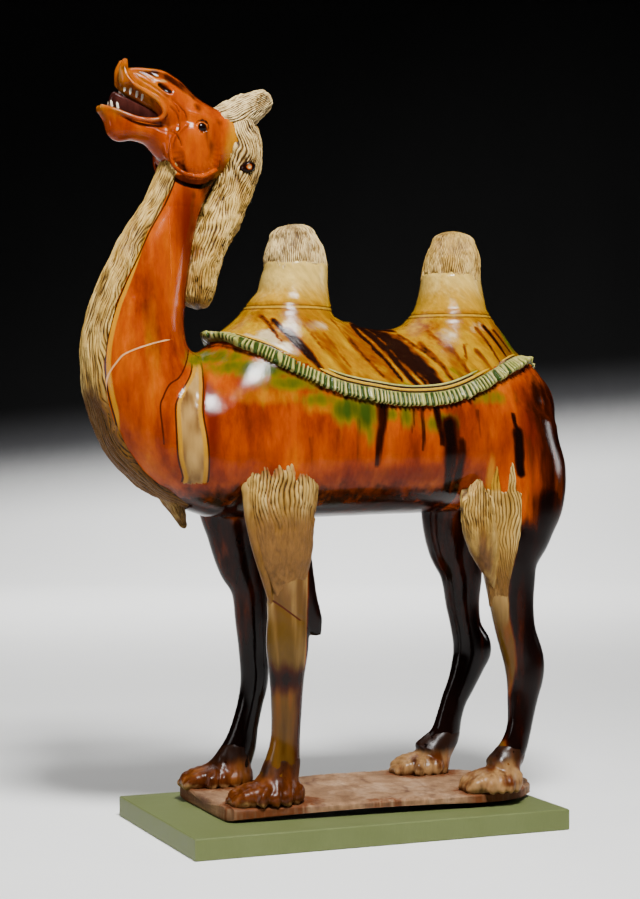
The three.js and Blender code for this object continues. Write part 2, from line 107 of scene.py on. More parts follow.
BACK_HUMP = [
    (146, 0, 637, 23, 24, 24),
    (145, 0, 619, 30, 31, 31),
    (143, 0, 597, 33, 34, 34),
    (142, 0, 575, 37, 37, 38),
    (142, 0, 554, 41, 44, 44),
    (142, 0, 540, 50, 54, 52),
    (142, 0, 518, 66, 70, 63),
    (142, 0, 490, 68, 78, 72),
    (140, 0, 450, 56, 66, 76),
]
NEAR_FORELEG = [
    (-103, -46, 405, 42, 40, 38),
    (-103, -60, 360, 37, 37, 31),
    (-101, -62, 315, 31, 32, 27),
    (-97, -62, 280, 28, 28, 24),
    (-91, -61, 248, 25, 25, 22),
    (-88, -60, 210, 22, 25, 19),
    (-88, -58, 175, 24, 26, 19),
    (-88, -56, 136, 19, 21, 16),
    (-88, -54, 100, 17, 18, 15),
    (-88, -52, 69, 16, 18, 14),
    (-91, -52, 42, 18, 22, 17),
    (-98, -53, 16, 20, 26, 22),
]
FAR_FORELEG = [
    (-108, 46, 405, 42, 40, 38),
    (-114, 58, 340, 34, 41, 30),
    (-107, 61, 295, 27, 34, 26),
    (-98, 62, 256, 24, 29, 22),
    (-90, 63, 228, 21, 21, 20),
    (-86, 64, 190, 19, 19, 18),
    (-83, 66, 150, 18, 17, 16),
    (-82, 67, 120, 17, 16, 15),
    (-86, 69, 94, 15, 15, 14),
    (-92, 70, 68, 16, 16, 14),
    (-98, 71, 44, 19, 20, 16),
    (-108, 72, 18, 20, 26, 20),
]
NEAR_HINDLEG = [
    (204, -44, 420, 48, 56, 38),
    (198, -56, 380, 63, 57, 40),
    (194, -62, 332, 63, 54, 37),
    (190, -64, 293, 49, 44, 31),
    (186, -65, 262, 36, 35, 26),
    (188, -65, 235, 30, 31, 22),
    (191, -66, 205, 25, 28, 18),
    (196, -66, 178, 23, 26, 17),
    (203, -66, 148, 26, 24, 17),
    (205, -67, 128, 24, 23, 16),
    (202, -68, 104, 19, 19, 14),
    (197, -70, 70, 14, 15, 13),
    (189, -71, 46, 15, 17, 14),
    (176, -72, 22, 16, 24, 20),
]
FAR_HINDLEG = [
    (200, 44, 420, 48, 56, 38),
    (190, 56, 370, 54, 58, 40),
    (180, 60, 312, 42, 47, 32),
    (179, 61, 274, 31, 37, 27),
    (186, 61, 240, 27, 27, 22),
    (188, 62, 203, 22, 21, 18),
    (193, 62, 174, 20, 19, 17),
    (199, 62, 148, 28, 22, 17),
    (195, 62, 128, 23, 20, 16),
    (187, 61, 106, 18, 18, 14),
    (177, 61, 86, 16, 16, 13),
    (170, 60, 66, 16, 16, 13),
    (163, 60, 42, 18, 19, 15),
    (148, 60, 20, 18, 26, 20),
]
TAIL = [
    (256, 0, 440, 8, 8, 9),
    (269, 0, 408, 8, 8, 8),
    (275, 3, 370, 8, 8, 8),
    (272, 8, 334, 9, 9, 10),
    (262, 12, 304, 5, 5, 6),
]
SKULL = [
    (-264, 0, 803, 10, 11, 12),
    (-256, 0, 802, 14, 12, 17),
    (-244, 0, 798, 20, 12, 20),
    (-230, 0, 790, 29, 14, 23),
    (-215, 0, 778, 32, 20, 27),
    (-195, 0, 765, 28, 37, 31),
    (-170, 0, 752, 27, 43, 34),
    (-145, 0, 743, 31, 44, 32),
    (-122, 0, 732, 34, 34, 25),
]
JAW = [
    (-288, 0, 767, 5, 4, 8),
    (-277, 0, 762, 7, 11, 13),
    (-264, 0, 754, 7, 21, 16),
    (-247, 0, 749, 8, 14, 17),
    (-228, 0, 745, 10, 16, 20),
    (-208, 0, 734, 20, 22, 25),
    (-186, 0, 722, 26, 22, 28),
]
TONGUE = [
    (-272, 0, 784, 4, 11, 7),
    (-258, 0, 777, 5, 16, 10),
    (-238, 0, 768, 6, 16, 12),
    (-218, 0, 758, 8, 14, 14),
]
PALATE = [
    (-262, 0, 796, 6, 8, 8),
    (-246, 0, 786, 6, 10, 11),
    (-228, 0, 774, 8, 10, 12),
    (-214, 0, 764, 8, 10, 12),
]
UPPER_LIP = [
    (-261, 6, 821, 3, 4, 4),
    (-263, 8, 811, 5, 6, 7),
    (-260, 9, 800, 8, 9, 9),
]
CHEEK = [
    (-212, 17, 724, 18, 14, 9),
    (-200, 20, 727, 28, 29, 13),
    (-182, 21, 728, 30, 34, 15),
    (-164, 18, 728, 24, 27, 12),
]
ELBOW_TUFT = [
    (-82, 64, 300, 14, 10, 13),
    (-75, 65, 262, 13, 12, 12),
    (-69, 65, 230, 12, 14, 10),
    (-60, 64, 203, 10, 14, 8),
    (-54, 63, 188, 4, 8, 5),
]
FORELEG_HAIR = [
    (-103, 72, 396, 38, 38, 18),
    (-103, 77, 360, 42, 43, 19),
    (-103, 78, 322, 39, 40, 19),
    (-99, 77, 288, 33, 35, 17),
    (-93, 74, 252, 27, 30, 15),
    (-88, 70, 212, 20, 22, 13),
]
FAR_FORELEG_HAIR = [
    (-106, 72, 396, 34, 34, 18),
    (-106, 77, 360, 34, 31, 18),
    (-106, 78, 322, 32, 27, 17),
    (-101, 77, 288, 27, 24, 15),
    (-93, 75, 252, 23, 21, 13),
    (-88, 72, 212, 18, 18, 12),
]
THIGH_HAIR = [
    (142, 72, 368, 14, 10, 14),
    (136, 77, 338, 20, 17, 17),
    (139, 78, 302, 22, 18, 17),
    (151, 77, 262, 22, 16, 14),
    (168, 74, 224, 14, 12, 10),
]
FAR_THIGH_HAIR = [
    (154, 72, 360, 12, 6, 12),
    (156, 76, 330, 16, 11, 15),
    (162, 77, 296, 18, 9, 15),
    (170, 76, 256, 16, 7, 13),
    (178, 74, 222, 12, 6, 10),
]
THIGH_GROOVE = [
    (184, 100, 424, 2, 2, 6),
    (182, 102, 390, 3, 3, 8),
    (182, 102, 340, 3, 3, 8),
    (184, 100, 300, 2, 2, 6),
]
CHEST_TUFT = [
    (-232, 0, 356, 12, 7, 28),
    (-213, 0, 341, 13, 6, 24),
    (-200, 0, 325, 10, 6, 15),
    (-193, 0, 311, 5, 4, 6),
]

# The slab's plan: x, the middle of its width, and half its width.
SLAB_PLAN = [
    (-163, 14, 82),
    (-150, 14, 89),
    (-70, 11, 92),
    (10, 9, 95),
    (90, 6, 97),
    (146, 4, 97),
    (172, 12, 84),
    (192, 24, 68),
    (206, 34, 50),
]
SLAB_THICKNESS = 17
SLAB_ARCH = 7

# The saddle cloth's hem: x, and the share of the way up the flank there.
HEM = [
    (-150, 1),
    (-143, 0.97),
    (-128, 0.855),
    (-102, 0.73),
    (-70, 0.63),
    (-34, 0.53),
    (12, 0.475),
    (61, 0.455),
    (100, 0.47),
    (140, 0.57),
    (182, 0.74),
    (214, 0.93),
    (224, 0.985),
    (232, 1),
]
HEM_FRONT, HEM_REAR = HEM[0][0], HEM[-1][0]

# The frill's section, from the ridges of the border down over the pleats and back underneath: how
# far below the hem and how proud of the flank. Then the border's dark lines, and the points along
# a pleat.
FRILL_SECTION = [
    (-9, -5),
    (-8.6, 1.5),
    (-7.6, 3.4),
    (-6.4, 4.2),
    (-5.2, 3.6),
    (-4.5, 2.4),
    (-3.6, 3.6),
    (-2.4, 4.4),
    (-1.2, 4.4),
    (-0.2, 3.6),
    (0.6, 2.2),
    (1.5, 3.4),
    (3.2, 4),
    (5.5, 4.4),
    (8, 4.7),
    (10.5, 5),
    (13, 5.4),
    (15.4, 5.8),
    (16.8, 5.4),
    (17.4, 3.8),
    (16.4, -1),
    (12, -5),
]
BORDER_LINES = (-8.6, -4.4, 0.6)
PLEAT_POINTS = 9

# Where the pinched collar and the foot of the combed cap lie on the front hump and the back one,
# and the x that parts the two humps.
COLLAR_HEIGHTS = (552, 547)
CAP_HEIGHTS = (604, 596)
HUMPS_PART = 45
# The x that parts fore from hind, and on the legs their top, the near knee and the shin's start.
FORE_END = 20
LEG_TOP = (318, 296)
KNEE = 138
SHIN_TOP = (160, 130)


def left(rows):
    """The same table on the camel's left side."""
    return [(x, -y, *rest) for x, y, *rest in rows]


def smooth(low, high, value):
    """Smooth step from 0 at low to 1 at high."""
    share = np.clip((value - low) / (high - low), 0, 1)
    return share * share * (3 - 2 * share)


def spline(rows, shares):
    """Catmull-Rom values of a table at shares of the way through its stations."""
    table = np.asarray(rows, float)
    padded = np.vstack([2 * table[0] - table[1], table, 2 * table[-1] - table[-2]])
    place = np.clip(np.asarray(shares, float), 0, 1) * (len(table) - 1)
    index = np.minimum(place.astype(int), len(table) - 2)
    w = (place - index)[..., None]
    a, b, c, d = (padded[index + k] for k in range(4))
    return b + 0.5 * w * (c - a + w * (2 * a - 5 * b + 4 * c - d + w * (3 * (b - c) + d - a)))


def run_of(rows):
    """Fine shares along a table, and the distance along its path at each."""
    shares = np.linspace(0, 1, 600)
    path = spline(rows, shares)[:, :3]
    steps = np.linalg.norm(np.diff(path, axis=0), axis=1)
    return shares, np.concatenate([[0], np.cumsum(steps)])


def unit(vectors):
    """Vectors at length one."""
    return vectors / np.maximum(np.linalg.norm(vectors, axis=-1, keepdims=True), 1e-9)


def lattice(a, b, seed):
    """Repeatable random number from 0 to 1 for each pair of whole numbers."""
    n = a.astype(np.int64) * 374761393 + b.astype(np.int64) * 668265263 + seed * 974634777
    n = (n ^ (n >> 13)) * 1274126177
    return ((n ^ (n >> 16)) & 0xFFFF) / 65535


def value_noise(x, y, seed, period=None):
    """Smooth noise from 0 to 1 over a plane, repeating in x after the period."""
    xi, yi = np.floor(x), np.floor(y)
    fx, fy = x - xi, y - yi
    fx, fy = fx * fx * (3 - 2 * fx), fy * fy * (3 - 2 * fy)
    x0, x1 = (xi, xi + 1) if period is None else (xi % period, (xi + 1) % period)
    low = lattice(x0, yi, seed) * (1 - fx) + lattice(x1, yi, seed) * fx
    high = lattice(x0, yi + 1, seed) * (1 - fx) + lattice(x1, yi + 1, seed) * fx
    return low * (1 - fy) + high * fy


def noise3(points, size, seed):
    """Smooth noise about 0 in space, for points in millimetres."""
    p = points / size
    first = value_noise(p[:, 0] + 0.37 * p[:, 2], p[:, 1] - 0.29 * p[:, 2], seed)
    second = value_noise(p[:, 2] + 0.31 * p[:, 1], p[:, 0] - 0.43 * p[:, 1], seed + 5)
    return first + second - 1


def comb(strands, turn, along, seed, depth, sway=1.0, dash=13.0):
    """Combed hair: strands round the turn (0 to 1), swaying together and pressed in dashes.

    Gives the height of the clay, and how far each place lies down in the gaps between strands."""
    broad, middle = max(2, round(strands / 9)), max(3, round(strands / 4))
    shift = 3.4 * sway * (value_noise(turn * broad, along / 30, seed, broad) - 0.5)
    shift += 1.5 * sway * (value_noise(turn * middle, along / 12, seed + 1, middle) - 0.5)
    place = turn * strands + shift
    strand = np.floor(place)
    across = place - strand
    length = along / dash + 7.3 * lattice(strand % strands, 0 * strand, seed + 2)
    swell = smooth(0.15, 0.75, value_noise(strand % strands * 1.0, length, seed + 3))
    ridge = 1 - np.abs(2 * across - 1) ** 2.6
    lock = value_noise(place / 4.3, along / 15, seed + 4)
    stroke = ridge * (0.35 + 0.85 * swell)
    gap = 1 - ridge * (0.7 + 0.3 * swell) + 0.25 * (0.5 - lock)
    return depth * (stroke - 0.8 + 0.9 * (lock - 0.5)), gap


class Run:
    """Sections of a table at given distances along its path."""

    def __init__(self, rows, distances):
        shares, run = run_of(rows)
        self.length = run[-1]
        t = np.interp(distances, run, shares)
        values = spline(rows, t)
        ahead, behind = spline(rows, t + 1e-4), spline(rows, t - 1e-4)
        self.middle, self.half = values[:, :3], values[:, 3:6]
        self.along = unit((ahead - behind)[:, :3])
        y = np.array([0.0, 1.0, 0.0])
        self.sideways = unit(y - self.along * self.along[:, 1:2])
        self.over = np.cross(self.along, self.sideways)

    def points(self, angles, scale=1.0, slide=0.0, lift=0.0, squareness=2):
        """Points of each section: angle 0 is over the run, a quarter turn its +Y side."""
        power = 2 / squareness
        cos = np.sign(np.cos(angles)) * np.abs(np.cos(angles)) ** power
        sin = np.sign(np.sin(angles)) * np.abs(np.sin(angles)) ** power
        scale = np.reshape(scale, (-1, 1))
        depth = np.where(cos > 0, self.half[:, :1], self.half[:, 1:2])
        rise = cos * (depth * scale + lift)
        reach = sin * (self.half[:, 2:3] * scale + lift)
        slide = np.reshape(slide, (-1, 1, 1)) * self.along[:, None, :]
        over = rise[..., None] * self.over[:, None, :]
        return self.middle[:, None, :] + over + reach[..., None] * self.sideways[:, None, :] + slide


def tube(rings, around, looped=False):
    """Quads between the rings of a tube; a looped one joins its last ring to its first."""
    lengths = rings if looped else rings - 1
    ring, i = np.meshgrid(np.arange(lengths), np.arange(around), indexing="ij")
    here, there = ring * around, (ring + 1) % rings * around
    after = (i + 1) % around
    return np.stack([here + i, there + i, there + after, here + after], axis=-1).reshape(-1, 4)


def folded_tube(loop):
    """Closed skin of rings that each run out and come back below; its ends close across."""
    rings, around = loop.shape[:2]
    j = np.arange(around // 2 - 1)
    back = around - 1 - j
    opening = np.stack([j, j + 1, back - 1, back], axis=-1)
    closing = (rings - 1) * around + opening[:, ::-1]
    return loop.reshape(-1, 3), np.vstack([tube(rings, around), opening, closing]), NO_TRIANGLES


def girth_of(rows):
    """About how far it is round the thickest station of a table."""
    return 2.2 * np.max(np.asarray(rows)[:, 3:6].sum(axis=1))


def cap_turns(first, last, depth, step):
    """Turns between a rounded end's tip and its rim, without either."""
    return np.linspace(first, last, max(3, round(depth * 1.6 / step)) + 1)[1:-1]


def limb(rows, step, caps=(8, 8), squareness=2, relief=None, around=None):
    """Closed skin of a table with rounded ends: points, quads and triangles."""
    length = run_of(rows)[1][-1]
    count = max(3, round(length / step))
    around = around or max(12, round(girth_of(rows) / step))
    turns = np.linspace(0, 1, around, endpoint=False)
    start, end = caps
    start_turns = cap_turns(0, math.pi / 2, start, step)
    end_turns = cap_turns(math.pi / 2, 0, end, step)
    middle = np.linspace(0, length, count)
    distance = np.concatenate([0 * start_turns, middle, length + 0 * end_turns])
    scale = np.concatenate([np.sin(start_turns), np.ones(count), np.sin(end_turns)])
    slide = np.concatenate([-start * np.cos(start_turns), np.zeros(count), end * np.cos(end_turns)])
    run = Run(rows, distance)
    lift = 0.0
    if relief is not None:
        lift = relief(turns[None, :], (distance + slide)[:, None]) * scale[:, None]
    grid = run.points(2 * math.pi * turns[None, :], scale, slide, lift, squareness)
    rings = len(distance)
    poles = [run.middle[0] - start * run.along[0], run.middle[-1] + end * run.along[-1]]
    points = np.vstack([grid.reshape(-1, 3), poles])
    i = np.arange(around)
    after = (i + 1) % around
    first, last = rings * around, rings * around + 1
    tail = (rings - 1) * around
    opening = np.stack([np.full(around, first), i, after], axis=-1)
    closing = np.stack([np.full(around, last), tail + after, tail + i], axis=-1)
    return points, tube(rings, around), np.vstack([opening, closing])


def shell(rows, reach, angles, step, lift, root):
    """Closed skin over a share of a run and the angles of its girth: the outer side lifted, the
    inner side hidden below."""
    length = run_of(rows)[1][-1]
    distance = np.linspace(0, reach * length, max(4, round(reach * length / step)))
    run = Run(rows, distance)
    share = np.linspace(0, 1, len(angles))
    outer = run.points(angles[None, :], lift=lift(share[None, :], distance[:, None]))
    inner = run.points(angles[None, ::-1], lift=-root)
    return folded_tube(np.concatenate([outer, inner], axis=1))


class Clay:
    """A body of clay as distances from its skin on a grid: skins are pressed on or cut away."""

    def __init__(self, low, high, grain, reach):
        self.grain = grain
        self.reach = reach
        self.low = np.floor(np.asarray(low) / grain).astype(int) - 3
        shape = np.ceil(np.asarray(high) / grain).astype(int) + 3 - self.low
        self.field = np.full(shape, float(reach), np.float32)

    def distances(self, skin):
        """A skin's distances, and where they lie in the field."""
        points, quads, triangles = skin
        grid = openvdb.FloatGrid.createLevelSetFromPolygons(
            points,
            triangles=triangles.astype(np.uint32),
            quads=quads.astype(np.uint32),
            transform=openvdb.createLinearTransform(voxelSize=self.grain),
            halfWidth=self.reach / self.grain,
        )
        low, high = (np.array(corner) for corner in grid.evalActiveVoxelBoundingBox())
        low, high = np.maximum(low, self.low), np.minimum(high + 1, self.low + self.field.shape)
        values = np.empty(tuple(high - low), np.float32)
        grid.copyToArray(values, ijk=tuple(int(v) for v in low))
        place = tuple(slice(a, b) for a, b in zip(low - self.low, high - self.low))
        return values, place

    def add(self, skin, blend=4.0):
        """Presses a skin on, with a soft joint as wide as the blend."""
        values, place = self.distances(skin)
        self.field[place] = self.soft_least(self.field[place], values, blend)

    def cut(self, skin, blend=1.0):
        """Cuts a skin away."""
        values, place = self.distances(skin)
        self.field[place] = -self.soft_least(-self.field[place], values, blend)

    @staticmethod
    def soft_least(a, b, blend):
        """The lesser of two distances, rounded where they are alike."""
        h = np.clip(0.5 + 0.5 * (b - a) / blend, 0, 1)
        return b + (a - b) * h - blend * h * (1 - h)

    def skin(self):
        """The clay's surface as points and quads."""
        grid = openvdb.FloatGrid()
        grid.background = self.reach
        grid.copyFromArray(self.field)
        points, quads = grid.convertToQuads(isovalue=0)
        return without_specks((points + self.low) * self.grain, quads.astype(int))


def without_specks(points, quads):
    """A skin less the loose specks that a blend can leave."""
    label = np.arange(len(points))
    while True:
        before = label.copy()
        np.minimum.at(label, quads, label[quads].min(axis=1)[:, None])
        label = label[label]
        if np.array_equal(before, label):
            break
    keep = np.bincount(label, minlength=len(label))[label] >= SPECK
    place = np.cumsum(keep) - 1
    return points[keep], place[quads[keep[quads[:, 0]]]], NO_TRIANGLES


def normals_of(points, quads, triangles):
    """Outward direction of a skin at each point."""
    total = np.zeros_like(points)
    a, b, c, d = (points[quads[:, k]] for k in range(4))
    faces = [(quads, c - a, d - b)]
    if len(triangles):
        a, b, c = (points[triangles[:, k]] for k in range(3))
        faces.append((triangles, b - a, c - a))
    for corners, one, other in faces:
        face = np.cross(one, other)
        for k in range(corners.shape[1]):
            for axis in range(3):
                total[:, axis] += np.bincount(corners[:, k], face[:, axis], len(points))
    return unit(total)


def swollen(points, quads, triangles, amount):
    """The skin pushed out by an amount at each point."""
    out = normals_of(points, quads, triangles)
    return points + out * amount[:, None], quads, triangles


def make_piece(name, skin, finishes, marks=None, node="camel_figure"):
    """A named piece from a skin in millimetres over the slab, with its marks as point values."""
    points, quads, triangles = skin
    mesh = bpy.data.meshes.new(name)
    placed = (points + (0, 0, SLAB_TOP)) * MM
    mesh.from_pydata(placed.tolist(), [], quads.tolist() + triangles.tolist())
    mesh.polygons.foreach_set("use_smooth", np.ones(len(mesh.polygons), bool))
    for key, values in (marks or {}).items():
        mark = mesh.attributes.new(key, "FLOAT", "POINT")
        mark.data.foreach_set("value", np.asarray(values, np.float32).ravel())
    for finish in finishes:
        mesh.materials.append(bpy.data.materials[finish])
    mesh.update()
    piece = bpy.data.objects.new(name, mesh)
    bpy.context.scene.collection.objects.link(piece)
    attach(piece, "root")
    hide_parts(node)
    return piece


# Small parts of the head, in the same measures. The middles of the cheek, the eye and the ear are
# x and z places, and the forehead is the line over which its glaze lies dark.
CHEEK_MIDDLE = (-186, 722)
EYE_MIDDLE = (-181, 750)
EAR_MIDDLE = (-127, 708)
FOREHEAD = [(-260, 806), (-215, 795), (-175, 768), (-150, 760)]
# Painted highlights on the front of the upper lip and on the nostril's rim: x, z, reach both ways,
# rise and strength.
PAINTED_LIP_HIGHLIGHTS = [(-272, 808, 5, 18, 1), (-222, 800, 7, 3, 1)]
# The height that parts upper teeth from lower ones.
BITE = 776.5
BROW = [
    (-206, 18, 768, 4, 5, 6),
    (-192, 24, 765, 5, 6, 7),
    (-176, 28, 761, 5, 5, 6),
    (-163, 28, 752, 4, 4, 5),
]
EYEBALL = [
    (-185, 29, 750, 4, 4, 5),
    (-181, 30, 750, 6, 6, 6),
    (-177, 30, 750, 4, 4, 5),
]
EAR = [
    (-132, 27, 706, 5, 5, 7),
    (-127, 33, 708, 7, 7, 8),
    (-121, 33, 710, 5, 5, 6),
]
EAR_HOLE = [
    (-130, 41, 707, 3, 3, 3),
    (-125, 42, 709, 3, 3, 3),
]
NOSTRIL = [
    (-226, 21, 795, 2, 2, 3),
    (-220, 23, 791, 4, 3, 4),
    (-215, 24, 788, 2, 2, 3),
]
NOSTRIL_RIM = [
    (-231, 14, 801, 2, 2, 3),
    (-223, 19, 798, 3, 3, 4),
    (-215, 20, 792, 2, 2, 3),
]
LIP_ROLL = [
    (-262, 15, 803, 2.4, 2.4, 3),
    (-254, 19, 794, 2.4, 2.4, 3),
    (-241, 21, 786, 2.4, 2.4, 3),
    (-228, 23, 777, 2.6, 2.6, 3),
    (-221, 24, 765, 3, 3, 3),
    (-228, 22, 757, 3, 3, 3),
    (-249, 19, 757, 3, 3, 3),
    (-275, 12, 766, 3, 3, 3),
    (-288, 6, 770, 3, 3, 3),
]
LIP_GROOVE = [
    (-268, 19, 749, 1, 1, 3),
    (-249, 22, 746, 2, 2, 4),
    (-230, 24, 747, 2, 2, 4),
    (-219, 26, 755, 1, 1, 3),
]
JOWL_RIDGE = [
    (-199, 31, 751, 1.6, 1.6, 3),
    (-211, 30, 739, 1.8, 1.8, 3),
    (-216, 29, 724, 2, 2, 3.5),
    (-213, 29, 707, 2.2, 2.2, 4),
    (-199, 31, 697, 2.4, 2.4, 4.5),
    (-180, 32, 695, 2.4, 2.4, 4.5),
    (-163, 28, 703, 2, 2, 4),
]
JOWL_GROOVE = [
    (-216, 30, 702, 1, 1, 1),
    (-203, 31, 688, 3, 3, 4),
    (-180, 31, 685, 3, 3, 4),
    (-159, 29, 694, 2, 2, 3),
]
MUZZLE_LINES = [
    [(-254, 806), (-244, 799), (-232, 792), (-222, 785), (-212, 776), (-206, 766)],
    [(-250, 811), (-240, 805), (-234, 800)],
    [(-245, 815), (-236, 810), (-228, 805)],
    [(-214, 781), (-206, 773), (-199, 764), (-197, 756)],
    [(-215, 771), (-208, 762), (-206, 750), (-210, 741)],
    [(-226, 748), (-214, 744), (-207, 736), (-204, 728)],
]
TEETH = [
    (-262, 9, 790),
    (-256, 11, 787),
    (-249, 12, 784),
    (-243, 12, 781),
    (-276, 5, 775),
    (-270, 8, 773),
]

# The hair behind the head and down the nape.
CREST_HAIR = [
    (-166, 0, 760, 12, 12, 18),
    (-144, 0, 764, 18, 22, 31),
    (-119, 0, 777, 18, 21, 29),
    (-99, 0, 787, 14, 14, 20),
]
MANE_HAIR = [
    (-128, 0, 758, 15, 24, 36),
    (-123, 0, 738, 21, 30, 38),
    (-123, 0, 712, 20, 30, 37),
    (-131, 0, 684, 19, 26, 34),
    (-145, 0, 650, 19, 27, 33),
    (-160, 0, 612, 12, 27, 32),
    (-171, 0, 566, 11, 24, 28),
]

# The roll of hair down the front of the near foreleg.
FORELEG_ROLL = [
    (-146, 70, 368, 5, 5, 6),
    (-144, 78, 345, 6, 6, 6),
    (-141, 79, 318, 6, 6, 6),
    (-133, 78, 286, 6, 6, 6),
    (-121, 73, 252, 5, 5, 5),
    (-112, 66, 226, 3, 3, 3),
]
# The groove between the roll and the leg behind it: heights with their x.
ROLL_GROOVE = [(212, -98), (250, -110), (290, -121), (380, -130)]

# The throat's strip: half the angle of its skin round the neck in radians, the share of the neck
# it goes down, the points round it and their spacing along it, and half the angle that its hair
# covers by the distance down the neck.
STRIP_SPAN = 0.92
STRIP_SHARE = 0.93
STRIP_ROWS = 150
STRIP_STEP = 2.2
STRIP_REACH = [
    (0, 0.92),
    (130, 0.92),
    (190, 0.78),
    (240, 0.62),
    (290, 0.52),
    (330, 0.47),
    (366, 0.45),
]

# Feet: x, y, length, how dark the shank is and how bare the toes are, and the leg above.
FEET = {
    "foot_near_fore": (-108, -54, 84, 0.7, 0.1, NEAR_FORELEG),
    "foot_far_fore": (-122, 74, 84, 1.1, 0.1, FAR_FORELEG),
    "foot_near_hind": (160, -76, 66, 0.8, 0.8, NEAR_HINDLEG),
    "foot_far_hind": (134, 62, 66, 1.1, 0.8, FAR_HINDLEG),
}

# Lines and patches of the glaze as seen from the left: x and z, and for a patch its reach both ways
# and its strength.
CRACK = [
    (-218, 515),
    (-249, 507),
    (-272, 498),
    (-281, 489),
    (-289, 475),
    (-291, 460),
    (-289, 446),
]
# The fold is the shoulder's crease; its dark line is painted shade.
FOLD = [(-190, 507), (-212, 475), (-227, 464), (-235, 451), (-239, 437), (-235, 397)]
SHOULDER_FRONT = [(-192, 497), (-200, 476), (-218, 451), (-223, 433), (-221, 389), (-212, 362)]
SHOULDER_REAR = [(-182, 492), (-188, 462), (-193, 433), (-190, 397), (-187, 360)]
LEG_CRACK = [(-121, 233), (-108, 223), (-92, 211), (-76, 200)]
# Long tips of the thigh's hair: x, rise and half width.
THIGH_TIPS = [(156, 34, 6), (174, 38, 6), (141, 14, 5)]
# The thigh's patch: top and height, its front edge as heights with their x, its strands, and the
# points across and down it. Then the grid over which the flank under it is measured.
PATCH_TOP, PATCH_DROP = 382, 172
PATCH_FRONT = [(210, 160), (260, 150), (300, 138), (380, 132)]
PATCH_STRANDS = 15
PATCH_POINTS = (75, 95)
PATCH_CORNER = (100.0, 180.0)
PATCH_CELL = 3.0
PATCH_CELLS = (40, 74)
THIGH_STRAW = [(126, 395), (160, 386), (184, 368), (187, 300), (176, 240), (178, 200)]
SHIN_STRIPE = [
    (182, 320),
    (184, 280),
    (177, 240),
    (180, 200),
    (188, 165),
    (190, 130),
    (182, 90),
    (176, 40),
]
GREEN = [
    (-192, 490, 14, 7, 0.7),
    (-168, 496, 30, 8, 0.8),
    (-130, 482, 44, 10, 0.9),
    (-92, 466, 40, 8, 0.8),
    (-62, 448, 26, 8, 0.7),
    (-31, 438, 18, 15, 1),
    (-9, 434, 15, 20, 1),
    (-3, 412, 6, 16, 0.7),
    (20, 432, 14, 8, 0.7),
    (41, 430, 10, 14, 0.8),
    (83, 422, 20, 10, 0.8),
    (150, 452, 24, 8, 0.6),
]
DARK = [
    (12, 440, 4, 376, 6.5, 1),
    (50, 436, 46, 412, 2.5, 0.8),
    (78, 436, 84, 398, 4, 0.9),
    (94, 420, 100, 340, 9, 1),
    (108, 400, 112, 300, 6, 0.9),
    (-76, 404, -72, 370, 4, 0.5),
    (60, 438, 60, 392, 3, 0.7),
    (32, 432, 30, 382, 3, 0.55),
    (-20, 424, -22, 372, 4, 0.45),
    (-46, 414, -48, 380, 3, 0.4),
    (132, 436, 134, 404, 3, 0.6),
    (177, 432, 181, 408, 3, 1),
    (181, 412, 184, 364, 6, 1),
    (238, 440, 238, 300, 34, 0.85),
    (226, 330, 210, 230, 20, 1),
    (208, 230, 214, 120, 20, 1),
    (206, 130, 192, 60, 18, 1),
]
YELLOW = [
    (-60, 440, 30, 8, 0.5),
    (150, 364, 4, 22, 1),
    (128, 466, 40, 6, 0.4),
    (-120, 452, 50, 10, 0.5),
    (-243, 520, 12, 80, 0.3),
    (-142, 728, 9, 34, 1),
    (-150, 698, 10, 12, 0.7),
]
RED = [
    (-196, 640, 14, 60, 0.9),
    (-190, 560, 16, 60, 0.8),
    (-184, 420, 9, 70, 0.9),
    (40, 366, 120, 14, 0.7),
    (-130, 380, 30, 24, 0.5),
    (212, 420, 34, 60, 0.9),
    (150, 400, 40, 26, 0.5),
]
CLOTH_BROWN = [
    (-64, 532, -24, 478, 9, 0.4),
    (-8, 524, 30, 470, 12, 0.45),
    (96, 530, 122, 472, 10, 0.4),
    (176, 526, 196, 500, 8, 0.4),
    (-110, 541, -96, 512, 2, 0.8),
    (-100, 536, -72, 494, 2.5, 1),
    (-88, 524, -58, 482, 4, 0.9),
    (-82, 508, -50, 472, 3, 0.9),
    (-68, 530, -54, 506, 1.5, 0.6),
    (-46, 522, -20, 484, 2, 0.5),
    (-30, 540, -6, 500, 1.5, 0.5),
    (-12, 516, 16, 474, 2.5, 0.7),
    (0, 532, 40, 470, 3, 1),
    (14, 532, 58, 464, 5, 1),
    (26, 530, 70, 462, 2.5, 1),
    (36, 524, 82, 476, 9, 0.9),
    (48, 508, 88, 460, 12, 1),
    (4, 533, 60, 528, 3, 0.9),
    (60, 522, 96, 484, 2, 0.7),
    (78, 512, 108, 466, 3, 0.7),
    (92, 528, 124, 486, 1.5, 0.6),
    (110, 510, 130, 474, 3, 0.6),
    (128, 512, 122, 476, 1.5, 0.7),
    (146, 532, 172, 492, 2, 0.8),
    (158, 534, 184, 500, 2.5, 0.9),
    (172, 530, 194, 506, 2, 0.9),
    (140, 505, 160, 480, 3, 0.5),
]
CLOTH_CREAM = [
    (-128, 512, 14, 8, 0.9),
    (-110, 514, 12, 12, 0.9),
    (-98, 506, 12, 8, 0.8),
    (-86, 526, 14, 9, 0.7),
    (-56, 530, 16, 7, 0.6),
    (108, 524, 14, 9, 0.6),
    (150, 532, 20, 7, 0.5),
]
CLOTH_GREEN = [
    (-140, 506, 18, 10, 0.9),
    (-112, 490, 20, 12, 0.8),
    (-72, 472, 20, 10, 0.6),
    (36, 462, 22, 9, 0.7),
    (120, 476, 22, 10, 0.6),
    (196, 516, 20, 14, 0.7),
]


def along_line(distance, width):
    """1 on a line, falling softly to 0 within about twice the width."""
    return np.exp(-((distance / width) ** 2))


